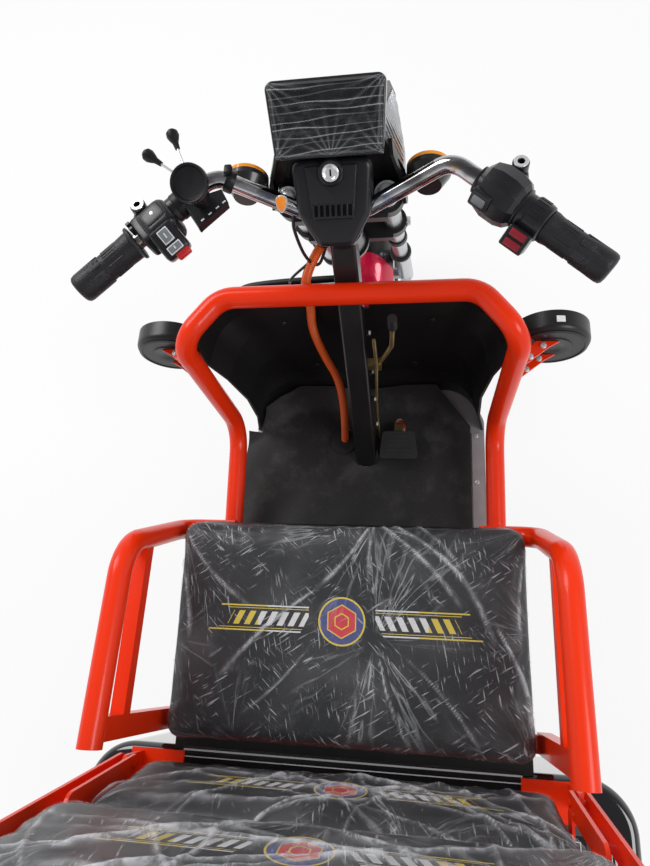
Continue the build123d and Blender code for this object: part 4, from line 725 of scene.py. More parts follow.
# painted shade: near-black plates stand in for the dark hollow of the vent behind the fins and of the lock's keyway
shade_black = plain_finish("shade_black", (0.002, 0.002, 0.002), (0.004, 0.004, 0.004), 0.01, 0.7, 0.1, 0.001, 0.0001,
                          Specular_IOR_Level=0.1)
vent_shade = bmesh.new()
block(vent_shade, cover_middle - cover_up * 0.0075 + cover_out * 0.0041, (0.05, 0.014, 0.0004), cover_place.to_3x3(), 0.0, 1)
add_piece("cover_vent_shade", vent_shade, "steering", shade_black)
lock = bmesh.new()
lock_at = cover_middle + cover_up * 0.0385 + cover_out * 0.0018
turned(lock, ((0.0, 0.0062), (0.0062, 0.0062), (0.0066, 0.0068), (0.0096, 0.008), (0.0106, 0.0076), (0.011, 0.005),
              (0.011, 0.002), (0, 0.002)), lock_at, cover_out, 48)
add_piece("lock_barrel", lock, "steering", bright_metal)
# painted shade for the keyway's slot
keyway_shade = bmesh.new()
block(keyway_shade, lock_at + cover_out * 0.0064, (0.002, 0.008, 0.0006), facing((1, 0, 0), cover_out), 0)
add_piece("lock_slot_shade", keyway_shade, "steering", shade_black)

# ------------------------------------------------------------------ display under its shipping film
# A black glass meter in a moulded case. A loose clear film still lies over it, drawn into
# shallow waves and tucked round its edges.
case_plastic = plain_finish("case_plastic", (0.008, 0.008, 0.009), (0.014, 0.014, 0.015), 0.04,
                            0.16, 0.1, 0.001, 0.00004, Coat_Weight=0.3, Coat_Roughness=0.1)
dress(case_plastic, "display")
display_top, display_bottom = Vector((0, 0.593, 0.967)), Vector((0, 0.53, 0.905))
display_up = (display_top - display_bottom).normalized()
display_out = Vector((0, -display_up.z, display_up.y))
display_middle = (display_top + display_bottom) / 2
display_half_rise = (display_top - display_bottom).length / 2
display_place = looking(display_middle, (1, 0, 0), display_out)
glass = Finish("display_glass", Specular_IOR_Level=0.2)
cloud = glass.noise(0.05, 2)
glass.set(Base_Color=glass.mix(cloud, (0.004, 0.004, 0.005), (0.008, 0.009, 0.01)), Roughness=0.04 + 0.05 * cloud)
glass.relief(glass.noise(0.02, 1), 0.00004)
pane = bmesh.new()
edge_low, edge_high = -display_half_rise + 0.006, display_half_rise - 0.006
glass_outline = rounded_outline([(-0.06, edge_low), (0.06, edge_low), (0.066, edge_high), (-0.066, edge_high)], 0.006)
cut_plate(pane, glass_outline, 0.0012, display_place, 0.0005, 2)
add_piece("display_pane", pane, "steering", glass)
rim = bmesh.new()
rim_outline = rounded_outline([(-0.0625, edge_low - 0.002), (0.0625, edge_low - 0.002), (0.0685, edge_high + 0.002),
                               (-0.0685, edge_high + 0.002)], 0.008)
cut_plate(rim, rim_outline, 0.0006, display_place, 0.0, 1)
pale_rim = plain_finish("pale_rim", (0.045, 0.047, 0.05), (0.075, 0.077, 0.08), 0.02, 0.2, 0.1, 0.0008, 0.00003)
add_piece("display_rim", rim, "steering", pale_rim)

film = Finish("shipping_film", IOR=1.45)
film.material.surface_render_method = "BLENDED"
film_cloud = film.noise(0.016, 4, 0.6, stretch=(0.6, 2.2, 2.2))
# painted highlights: the film turns whiter and more opaque along its folds, pinches and tucked edges
fold_highlight_mask = film.node("ShaderNodeAttribute", {"attribute_name": "fold_highlight"}, output=2)
film.set(Base_Color=film.mix(film_cloud, (0.74, 0.76, 0.78), (0.92, 0.93, 0.95)),
         Roughness=0.12 + 0.16 * film_cloud,
         Alpha=(0.008 + 0.028 * film_cloud.step(0.48, 0.72) + 0.46 * fold_highlight_mask).least(0.85))
film.relief(film_cloud, 0.0006)


def film_over(place, outline_half, rise_half, waves, lift, taper):
    """A thin loose sheet laid over a flat face: waves, pinches at the corners, edges tucked down."""
    sheet = bmesh.new()
    bmesh.ops.create_grid(sheet, x_segments=130, y_segments=170, size=1)
    phases = np.random.default_rng(3).uniform(0, 2 * pi, 12)
    layer = sheet.verts.layers.float.new("fold_highlight")
    for vert in sheet.verts:
        u, v = vert.co.x, vert.co.y
        edge_u, edge_v = 1 - abs(u), 1 - abs(v)
        near = min(edge_u * outline_half, edge_v * rise_half)
        ridge = 0.0
        for k in range(waves):
            centre = -0.92 + 1.84 * (k + 0.5) / waves
            bend = 0.06 * u + 0.034 * sin(2.2 * u + phases[k % 12]) + 0.014 * sin(6.3 * u + phases[(k + 5) % 12])
            width = 0.011 + 0.007 * (0.5 + 0.5 * sin(3.1 * u + phases[(k + 3) % 12]))
            strength = 0.35 + 0.65 * (0.5 + 0.5 * sin(1.7 * u + phases[(k + 7) % 12]))
            ridge += strength * np.exp(-((v - centre - bend) / width) ** 2)
        pinch = 0.0
        for cu, cv in ((-1, 1), (1, 1), (-1, -1), (1, -1), (0.05, -1)):
            du, dv = (u - cu) * outline_half, (v - cv) * rise_half
            far = (du * du + dv * dv) ** 0.5
            fan = abs(sin(9 * np.arctan2(dv, du + 1e-9) + phases[int(3 + cu)]))
            pinch += np.exp(-far / 0.016) * (1 - fan) ** 2
        drop = max(0.0, 1 - near / 0.005) ** 2
        height = lift + 0.0016 * ridge + 0.0026 * pinch - drop * (lift + 0.007)
        # how much painted highlight each fold, pinch and tucked edge carries
        vert[layer] = float(min(1.0, 0.8 * ridge ** 1.5 + 0.9 * pinch + 0.5 * drop))
        wide = outline_half + taper * v
        vert.co = place @ Vector((u * wide, v * rise_half, height))
    return sheet


sheet = film_over(display_place, 0.0705, display_half_rise - 0.0005, 9, 0.0022, 0.003)
piece = add_piece("display_film", sheet, "steering", film, 60, False)

# ------------------------------------------------------------------ lamp nacelle
# A black moulded hood over the headlamp, narrower at its top. Its sides carry bright ribbed
# inserts, and two black ears with long oval holes hold it to the fork.
hood_black = plain_finish("hood_black", (0.007, 0.007, 0.008), (0.014, 0.014, 0.015), 0.04,
                          0.24, 0.12, 0.001, 0.00008, Specular_IOR_Level=0.35)
insert_silver = plain_finish("insert_silver", (0.42, 0.43, 0.45), (0.62, 0.62, 0.64), 0.02,
                             0.18, 0.12, 0.0008, 0.00004, Metallic=0.9)


hood_side = 0.0886      # half the hood's width at its widest


def hood_half(y, z):
    """Half the hood's width at a place along it and a height."""
    drawn_in = 0.0235 * min(1.0, max(0.0, (z - 0.84) / 0.062))
    return hood_side - drawn_in - (0.012 - 0.2 * drawn_in) * min(1.0, max(0.0, (y - 0.6) / 0.085))


hood = bmesh.new()
hood_outline = [(0.562, 0.827), (0.562, 0.9198), (0.586, 0.9435), (0.65, 0.904), (0.694, 0.864), (0.694, 0.776),
                (0.64, 0.782), (0.602, 0.793), (0.58, 0.806)]
hood_place = looking((-hood_side, 0, 0), (0, 1, 0), (1, 0, 0))
cut_plate(hood, hood_outline, 2 * hood_side, hood_place, 0.0)
bmesh.ops.recalc_face_normals(hood, faces=hood.faces)
bmesh.ops.triangulate(hood, faces=hood.faces)
bmesh.ops.subdivide_edges(hood, edges=hood.edges, cuts=3, use_grid_fill=True)
for vert in hood.verts:
    vert.co.x *= hood_half(vert.co.y, vert.co.z) / hood_side
ring_place = looking((0, 0.6935, 0.82), (1, 0, 0), (0, 1, 0))
cut_plate(hood, rounded_outline([(-0.0745, -0.0405), (0.0745, -0.0405), (0.0745, 0.0405), (-0.0745, 0.0405)], 0.024, 6),
          0.0012, ring_place, 0.0004, 1)
for side in (-1, 1):
    before = set(hood.verts)
    ear = [(0.531, 0.812), (0.572, 0.806), (0.574, 0.884), (0.552, 0.878), (0.538, 0.85)]
    ear_place = looking((side * 0.0884, 0, 0), (0, 1, 0), (1, 0, 0))
    hole = [(0.5535 + 0.0064 * cos(t) + 0.0035 * sin(t), 0.843 + 0.0225 * sin(t))
            for t in [2 * pi * k / 20 for k in range(20)]]
    outer_verts = [hood.verts.new(ear_place @ Vector((y, z, 0))) for y, z in ear]
    inner_verts = [hood.verts.new(ear_place @ Vector((y, z, 0))) for y, z in hole]
    edges = [hood.edges.new((ring[k], ring[(k + 1) % len(ring)]))
             for ring in (outer_verts, inner_verts) for k in range(len(ring))]
    filled = bmesh.ops.triangle_fill(hood, use_beauty=True, edges=edges)["geom"]
    grow(hood, [item for item in filled if isinstance(item, bmesh.types.BMFace)], (side * 0.004, 0, 0))
    for vert in set(hood.verts) - before:
        vert.co.x += side * (hood_half(vert.co.y, vert.co.z) - hood_side)
block(hood, (0, 0.575, 0.812), (0.176, 0.004, 0.052), Matrix.Rotation(-0.35, 3, "X"), 0.001, 1)
piece = add_piece("lamp_hood", hood, "steering", hood_black, 30)
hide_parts("lamp_nacelle")
ribs = bmesh.new()
for side in (-1, 1):
    for index in range(12):
        start_y = 0.578 + index * 0.0088
        low_z = 0.802 - index * 0.0015
        high_z = 0.912 - index * 0.005
        steps = 8
        bottom = []
        for k in range(steps + 1):
            share = k / steps
            z = low_z + (high_z - low_z) * share
            y = start_y + 0.01 * share - 0.012 * sin(pi * share)
            x = side * (hood_half(y, z) + 0.0002)
            bottom.append((ribs.verts.new((x, y - 0.0013, z)), ribs.verts.new((x + side * 0.0016, y, z)),
                           ribs.verts.new((x, y + 0.0013, z)), ribs.verts.new((x - side * 0.003, y, z))))
        for a, b in zip(bottom, bottom[1:]):
            for k in range(4):
                ribs.faces.new((a[k], a[(k + 1) % 4], b[(k + 1) % 4], b[k]))
        ribs.faces.new(bottom[0][::-1])
        ribs.faces.new(bottom[-1])
add_piece("hood_ribs", ribs, "steering", insert_silver, 25)
lens_finish = Finish("clear_lens", Roughness=0.06, IOR=1.46, Transmission_Weight=0.75, Coat_Weight=0.4)
flutes = (lens_finish.axes()[0] * 520.0).wave()
lens_finish.set(Base_Color=lens_finish.mix(flutes.step(-1, 1), (0.82, 0.85, 0.88), (0.93, 0.95, 0.97)))
lens_finish.relief(flutes.step(-1, 1), 0.0006)
dress(lens_finish, "headlamp_lens")
bowl = bmesh.new()
bowl_place = looking((0, 0.679, 0.82), (1, 0, 0), (0, 1, 0))
bowl_outline = rounded_outline([(-0.064, -0.031), (0.064, -0.031), (0.064, 0.031), (-0.064, 0.031)], 0.019)
cut_plate(bowl, bowl_outline, 0.001, bowl_place, 0.0, 1)
for x in (-0.032, 0.032):
    turned(bowl, ((0.0, 0.002), (0.008, 0.003), (0.02, 0.007), (0.026, 0.0105), (0.028, 0.0095), (0.028, 0.001),
                  (0, 0.001)), (x, 0.679, 0.82), (0, 1, 0), 36)
add_piece("lamp_reflector", bowl, "steering", bright_metal)

# ------------------------------------------------------------------ front turn signals
# Round black bodies on short rubber stems, with amber lenses that face forward.
signal = Finish("signal_shell", Specular_IOR_Level=0.5, Coat_Weight=0.3, Coat_Roughness=0.05)
across, along, rise = signal.axes()
amber = along.step(0.5555, 0.5561) * (abs(across) > 0.0955)
cloud = signal.noise(0.02, 3)
signal.set(Base_Color=signal.mix(amber, signal.mix(cloud, (0.01, 0.01, 0.011), (0.019, 0.019, 0.02)),
                                 signal.mix(cloud, (0.8, 0.24, 0.01), (0.95, 0.36, 0.02))),
           Roughness=0.24 + 0.08 * cloud - 0.16 * amber)
grooves = ((rise * 900.0).wave().step(-1, 1)) * amber
signal.relief(grooves, 0.0004)
dress(signal, "front_signals")
reflector = bmesh.new()
drop_rim = bmesh.new()
drop_outline = [(0.0068 * sin(t) * (1.0 - 0.34 * cos(t)), -0.0096 * cos(t))
                for t in [2 * pi * k / 36 for k in range(36)]]
drop_place = looking((-0.0673, 0.5049, 0.856), (0.985, 0.1, -0.15), (-0.2, -0.62, 0.76))
cut_plate(drop_rim, [(x * 1.22, y * 1.16) for x, y in drop_outline], 0.003, drop_place, 0.0008, 2)
cut_plate(reflector, drop_outline, 0.0042, drop_place, 0.001, 3)
orange_lens = plain_finish("orange_lens", (0.8, 0.2, 0.015), (0.92, 0.32, 0.03), 0.006, 0.1, 0.08, 0.0012, 0.00012,
                           Coat_Weight=0.6, Coat_Roughness=0.04)
add_piece("drop_reflector", reflector, "steering", orange_lens)
add_piece("drop_reflector_rim", drop_rim, "steering", bright_metal)

# ------------------------------------------------------------------ cables beside the down tube
# A thin black lead from the left switches hangs in a short bow below the bar, and the brake
# lead comes up from the loop to meet it. Both are held at both ends.
lead_black = plain_finish("lead_black", (0.01, 0.01, 0.011), (0.022, 0.022, 0.023), 0.01,
                          0.36, 0.12, 0.0009, 0.00005, 2, Specular_IOR_Level=0.45)


def smooth_mesh(name, points, steps, thick=0.0):
    """The smooth line through a route's control points as a mesh, round and closed where it is thick."""
    curve = bpy.data.curves.new(name, "CURVE")
    curve.dimensions = "3D"
    curve.resolution_u = steps
    if thick:
        curve.bevel_depth = thick / 2
        curve.bevel_resolution = 4
        curve.use_fill_caps = True
    line = curve.splines.new("NURBS")
    line.points.add(len(points) - 1)
    for spot, point in zip(line.points, points):
        spot.co = (*point, 1)
    line.order_u = 3
    line.use_endpoint_u = True
    holder = bpy.data.objects.new(name, curve)
    mesh = bpy.data.meshes.new_from_object(holder)
    bpy.data.objects.remove(holder)
    return mesh


def lead(name, points, thick, finish):
    """A round lead along a smooth route. It isn't on a body yet."""
    mesh = smooth_mesh(name, points, 10, thick)
    mesh.materials.clear()
    mesh.materials.append(finish.material)
    mesh.polygons.foreach_set("use_smooth", [True] * len(mesh.polygons))
    piece = bpy.data.objects.new(name, mesh)
    scene.collection.objects.link(piece)
    return piece


switch_lead = lead("switch_lead", [
    (-0.05, 0.53, 0.838), (-0.061, 0.505, 0.826), (-0.0605, 0.5, 0.79), (-0.056, 0.5, 0.742), (-0.044, 0.505, 0.712),
    (-0.034, 0.514, 0.722), (-0.026, 0.53, 0.742)], 0.0048, lead_black)
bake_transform(switch_lead)
brake_lead = lead("brake_lead", [
    (-0.096, 0.508, 0.668), (-0.09, 0.5, 0.69), (-0.068, 0.499, 0.716), (-0.046, 0.506, 0.732), (-0.03, 0.524, 0.742),
], 0.0042, lead_black)
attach(brake_lead, "chassis")

# ------------------------------------------------------------------ down tube and head tube
# A square steel post, painted black, with the turned head tube welded on top and ball-race
# cups pressed in both its ends. Small plated screws hold the cable clips along it.
post_paint = plain_finish("post_paint", (0.009, 0.009, 0.01), (0.018, 0.018, 0.019), 0.06,
                          0.28, 0.12, 0.0012, 0.00008, Coat_Weight=0.2, Coat_Roughness=0.15)
dress(post_paint, "down_tube")
post_lean = radians(23.2)
post_foot = Vector((0, 0.339, 0.315))
post_dir = Vector((0, sin(post_lean), cos(post_lean)))
clips = bmesh.new()
clip_heads = bmesh.new()
for reach in (0.085, 0.15, 0.215, 0.3):
    spot = post_foot + post_dir * reach + Vector((0.0192, 0, 0))
    block(clips, spot + Vector((0.003, 0, 0)), (0.006, 0.012, 0.004), None, 0.001, 1)
    round_screw(clip_heads, spot + Vector((0.006, 0.0005, 0)), (1, 0, 0.2), 0.0042, 0.0022)
add_piece("post_clips", clips, "chassis", soft_rubber)
add_piece("post_screws", clip_heads, "chassis", bright_metal)

# ------------------------------------------------------------------ leg shield
# A thin bowl moulded in black plastic with a pinched ledge low down, screwed to the loop
# and to the floor. Its inner face has a fine leather grain and a film of dust, and the
# rolled lip of its left half shows above the loop.
shield_plastic = Finish("shield_plastic", Specular_IOR_Level=0.35)
cloud = shield_plastic.noise(0.09, 5, 0.6)
speck = shield_plastic.noise(0.0035, 2, 0.7).step(0.66, 0.74)
across, along, rise = shield_plastic.axes()
dusty = (1.0 - rise.step(0.33, 0.44)) * cloud
clean_black = shield_plastic.mix(cloud, (0.006, 0.006, 0.007), (0.014, 0.014, 0.015))
dusted = (0.08 * speck + 0.12 * dusty).least(1.0)
shield_plastic.set(Base_Color=shield_plastic.mix(dusted, clean_black, (0.1, 0.1, 0.1)), Roughness=0.36 + 0.18 * cloud)
shield_plastic.relief(shield_plastic.noise(0.0014, 3), 0.00022)
dress(shield_plastic, "leg_shield")
lip = lead("shield_lip", [
    (-0.205, 0.534, 0.601), (-0.19, 0.534, 0.618), (-0.15, 0.534, 0.627), (-0.085, 0.534, 0.633),
    (-0.026, 0.534, 0.635)], 0.012, shield_plastic)
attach(lip, "chassis")
shield_screws = bmesh.new()
for x, y, z in ((0.095, 0.4955, 0.4), (-0.095, 0.4955, 0.4), (0.128, 0.4975, 0.56), (-0.128, 0.4975, 0.56),
                (0.1, 0.498, 0.64), (-0.1, 0.498, 0.64)):
    round_screw(shield_screws, (x, y - 0.0005, z), (0, -1, 0), 0.0052, 0.0026)
add_piece("shield_screws", shield_screws, "chassis", cast_metal)

# ------------------------------------------------------------------ floor and rubber mat
# A folded steel tray with a bright edge strip on the right, and a sheet of black rubber that
# lies on it. The mat's front edge curls up, and dust has settled on it in soft patches. A
# rubber grommet closes the hole for the conduit.
floor_metal = plain_finish("floor_metal", (0.3, 0.29, 0.3), (0.42, 0.41, 0.42), 0.03,
                           0.26, 0.18, 0.001, 0.00005, Metallic=0.35)
dress(floor_metal, "floor_plate")
mat_rubber = Finish("mat_rubber", Specular_IOR_Level=0.3)
patches = mat_rubber.noise(0.07, 5, 0.62)
fine = mat_rubber.noise(0.0042, 3, 0.7)
grit = mat_rubber.noise(0.0019, 1, 0.5)
dust = (0.55 * patches.step(0.5, 0.72) + 0.3 * fine.step(0.58, 0.74) * patches.step(0.36, 0.6)).least(1.0)
mat_rubber.set(Base_Color=mat_rubber.mix(dust, mat_rubber.mix(fine, (0.014, 0.014, 0.015), (0.03, 0.03, 0.031)),
                                         mat_rubber.mix(grit.step(0.5, 0.7), (0.06, 0.058, 0.055), (0.11, 0.106, 0.1))),
               Roughness=0.52 + 0.3 * dust)
mat_rubber.relief(0.6 * fine + 0.4 * grit, 0.0005)
mat_top = Vector(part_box("floor_mat")[1]).z
mat = bmesh.new()
mat_corners = [(-0.262, 0.132), (0.201, 0.132), (0.201, 0.398), (0.136, 0.474), (-0.136, 0.474), (-0.204, 0.428),
               (-0.216, 0.385), (-0.242, 0.385)]
bmesh.ops.create_grid(mat, x_segments=118, y_segments=88, size=1)
for vert in mat.verts:
    vert.co = Vector((-0.0305 + vert.co.x * 0.2315, 0.303 + vert.co.y * 0.171, mat_top))
for index, here in enumerate(mat_corners):
    there = mat_corners[(index + 1) % len(mat_corners)]
    side_dir = Vector((there[0] - here[0], there[1] - here[1], 0)).normalized()
    outward = side_dir.cross(Vector((0, 0, 1)))
    everything = list(mat.verts) + list(mat.edges) + list(mat.faces)
    bmesh.ops.bisect_plane(mat, geom=everything, dist=1e-6, plane_co=(*here, mat_top), plane_no=outward,
                           clear_outer=index not in (5, 6))
(bend_x, bend_y), (notch_x, notch_y) = mat_corners[5:7]
notch = Vector((notch_x, notch_y, 0))
notch_side = Vector((notch_x - bend_x, notch_y - bend_y, 0)).cross(Vector((0, 0, 1)))
bmesh.ops.delete(mat, geom=[face for face in mat.faces
                            if face.calc_center_median().y > notch.y
                            and (face.calc_center_median() - notch).dot(notch_side) > 0], context="FACES")
holes = ((-0.045, 0.369, 0.019, 0.026), (0.064, 0.392, 0.012, 0.024), (0.0, 0.339, 0.021, 0.025))
gone = [face for face in mat.faces for x, y, w, h in holes
        if ((face.calc_center_median().x - x) / w) ** 2 + ((face.calc_center_median().y - y) / h) ** 2 < 1]
bmesh.ops.delete(mat, geom=list(set(gone)), context="FACES")
for vert in mat.verts:
    x, y = vert.co.x, vert.co.y
    for hole_x, hole_y, w, h in holes:
        far = (((x - hole_x) / w) ** 2 + ((y - hole_y) / h) ** 2) ** 0.5
        if 0.8 < far < 1.25 and vert.is_boundary:
            vert.co.x, vert.co.y = hole_x + (x - hole_x) / far * 1.02, hole_y + (y - hole_y) / far * 1.02
    front_gap = 0.474 - y - max(0.0, abs(x) - 0.136) * 0.68
    curl = max(0.0, 1 - front_gap / 0.048) ** 2 * (0.25 + 0.75 * min(1.0, abs(x + 0.005) / 0.08))
    wave = 0.0012 * sin(31 * x + 9 * y) * sin(23 * y - 7 * x) + 0.0007 * sin(71 * x - 40 * y)
    left_roll = max(0.0, 1 - (x + 0.262) / 0.02) ** 2 * 0.003
    vert.co.z = mat_top - 0.0022 + wave + 0.034 * curl + left_roll
bmesh.ops.solidify(mat, geom=list(mat.faces), thickness=0.0032)
piece = add_piece("mat_laid", mat, "chassis", mat_rubber, 40)
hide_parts("floor_mat")
grommet = bmesh.new()
turned(grommet, ((0.0, -0.0015), (0.025, -0.0015), (0.0272, 0.0004), (0.0262, 0.0022), (0.022, 0.003), (0.013, 0.0012),
                 (0.0, 0.001)), (-0.047, 0.3655, mat_top), (0, 0, 1), 36)
add_piece("floor_grommet", grommet, "chassis", soft_rubber)
floor_screws = bmesh.new()
for x, y in ((0.212, 0.17), (0.212, 0.285), (0.212, 0.378)):
    round_screw(floor_screws, (x, y, 0.3128), (0, 0, 1), 0.0044, 0.0022)
add_piece("floor_screws", floor_screws, "chassis", bright_metal)

# ------------------------------------------------------------------ brake pedal and parking lever
# A pressed steel arm with a ribbed rubber pad, and beside the post a bent rod of gold zinc
# with a soft black knob, which pulls the parking brake.
dress(soft_rubber, "brake_pedal")
zinc = plain_finish("gold_zinc", (0.46, 0.33, 0.12), (0.66, 0.54, 0.26), 0.01,
                    0.28, 0.16, 0.0007, 0.00004, Metallic=0.9)
dress(zinc, "pedal_arm")
lever_finish = Finish("lever_zinc")
across, along, rise = lever_finish.axes()
knob = rise.step(0.6635, 0.664)
stain = lever_finish.noise(0.01, 4)
lever_finish.set(Base_Color=lever_finish.mix(knob, lever_finish.mix(stain, (0.46, 0.33, 0.12), (0.68, 0.56, 0.28)),
                                             (0.012, 0.012, 0.012)),
                 Metallic=0.9 - 0.9 * knob, Roughness=0.28 + 0.14 * stain + 0.2 * knob)
lever_finish.relief(lever_finish.noise(0.0008, 2), 0.00005)
dress(lever_finish, "parking_lever")

# ------------------------------------------------------------------ orange conduit
# A corrugated tube of orange plastic that carries the wiring from the head of the frame
# down through a hole in the floor. It is held at both ends and leans on the leg shield.
conduit_plastic = plain_finish("conduit_plastic", (0.62, 0.075, 0.006), (0.78, 0.13, 0.01), 0.03,
                               0.34, 0.14, 0.001, 0.00006)
conduit_route = [(-0.034, 0.519, 0.744), (-0.066, 0.49, 0.712), (-0.066, 0.4902, 0.64), (-0.077, 0.484, 0.566),
                 (-0.062, 0.458, 0.512), (-0.038, 0.428, 0.47), (-0.036, 0.394, 0.392), (-0.045, 0.369, 0.312)]


def even_steps(points, pitch):
    """The same line at even steps, with the direction at each."""
    lengths = [0.0]
    for a, b in zip(points, points[1:]):
        lengths.append(lengths[-1] + (b - a).length)
    count = max(2, int(lengths[-1] / pitch))
    spots, leads, at = [], [], 0
    for k in range(count + 1):
        want = lengths[-1] * k / count
        while at < len(points) - 2 and lengths[at + 1] < want:
            at += 1
        share = (want - lengths[at]) / max(1e-9, lengths[at + 1] - lengths[at])
        spots.append(points[at].lerp(points[at + 1], share))
    for k in range(count + 1):
        ahead, behind = spots[min(count, k + 1)], spots[max(0, k - 1)]
        leads.append((ahead - behind).normalized())
    return spots, leads


def corrugated(bm, points, radius, pitch=0.003, depth=0.0011, sides=18):
    """A ribbed tube: rings of two radii bridged along a line."""
    spots, leads = even_steps(points, pitch / 2)
    side = leads[0].orthogonal().normalized()
    loops = []
    for index, (spot, lead_dir) in enumerate(zip(spots, leads)):
        side = (side - lead_dir * side.dot(lead_dir)).normalized()
        size = radius if index % 2 else radius - depth
        ring = bmesh.ops.create_circle(bm, segments=sides, radius=size,
                                       matrix=looking(spot, side, lead_dir))["verts"]
        edges = list({e for v in ring for e in v.link_edges})
        if loops:
            bmesh.ops.bridge_loops(bm, edges=loops[-1] + edges)
        loops.append(edges)
    bmesh.ops.holes_fill(bm, edges=loops[0] + loops[-1], sides=0)


conduit_shape = bmesh.new()
corrugated(conduit_shape, [v.co.copy() for v in smooth_mesh("route", conduit_route, 24).vertices], 0.0075)
piece = add_piece("conduit_ribbed", conduit_shape, "chassis", conduit_plastic, 60)
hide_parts("conduit")

# ------------------------------------------------------------------ side lamps
# Black drum lamps with a moulded step on their backs and a pale lens in front, each bolted
# to the loop by two crimson tabs. The right one has a blank white label on its top.
lamp_plastic = plain_finish("lamp_plastic", (0.009, 0.009, 0.01), (0.017, 0.017, 0.018), 0.03,
                            0.3, 0.12, 0.001, 0.0001)
pale_label = plain_finish("pale_label", (0.7, 0.7, 0.7), (0.8, 0.8, 0.8), 0.008,
                          0.4, 0.1, 0.001, 0.00003)
tab_screws = bmesh.new()
for side, word in ((-1, "left"), (1, "right")):
    face = Finish(f"lamp_{word}", Specular_IOR_Level=0.45)
    across, along, rise = face.axes()
    lens = along.step(0.4548, 0.4556)
    cloud = face.noise(0.03, 3)
    face.set(Base_Color=face.mix(lens, face.mix(cloud, (0.009, 0.009, 0.01), (0.018, 0.018, 0.019)),
                                 (0.62, 0.64, 0.66)), Roughness=0.3 + 0.12 * cloud - 0.22 * lens,
             Metallic=0.5 * lens, Coat_Weight=lens)
    face.relief((across * 700.0).wave().step(-1, 1) * lens + 0.12 * face.noise(0.001, 2), 0.0005)
    dress(face, f"side_lamp_{word}")
    middle = Vector((side * 0.308, 0.442, 0.596))
    back = bmesh.new()
    turned(back, ((0.0, 0.0), (0.012, 0.0), (0.014, 0.0012), (0.03, 0.0014), (0.031, 0.0003), (0.0, -0.0005)),
           middle + Vector((0, -0.0212, 0)), (0, -1, 0), 40)
    turned(back, ((0.0475, -0.0205), (0.0495, -0.0225), (0.0535, -0.0212), (0.0475, -0.0195)), middle, (0, 1, 0), 56)
    add_piece(f"lamp_back_{word}", back, "chassis", lamp_plastic)
    if side > 0:
        label = bmesh.new()
        block(label, (0.3133, 0.4384, 0.6541), (0.0125, 0.01, 0.0008), Matrix.Rotation(0.1, 3, "Y"), 0.0, 1)
        add_piece("lamp_label", label, "chassis", pale_label)
    for z in (0.574, 0.618):
        for x, y in ((0.272, 0.3925), (0.292, 0.4105)):
            round_screw(tab_screws, (side * x, y + 0.002, z + 0.0022), (0, 0, 1), 0.0052, 0.003)
add_piece("tab_screws", tab_screws, "chassis", bright_metal)

# ------------------------------------------------------------------ padded seats and their shipping film
# Each pad is foam on a board, in plain black vinyl with a fine grain and a printed badge: a
# blue disc with a red hexagon, between two striped rails. The clear shipping film is still on.
def evaluated_copy(piece):
    """The piece's mesh with its modifiers worked out."""
    graph = bpy.context.evaluated_depsgraph_get()
    return bpy.data.meshes.new_from_object(piece.evaluated_get(graph))


def bake_modifiers(piece):
    """Make what the modifiers give the piece's own mesh."""
    done = evaluated_copy(piece)
    done.materials.clear()
    piece.modifiers.clear()
    piece.data = done


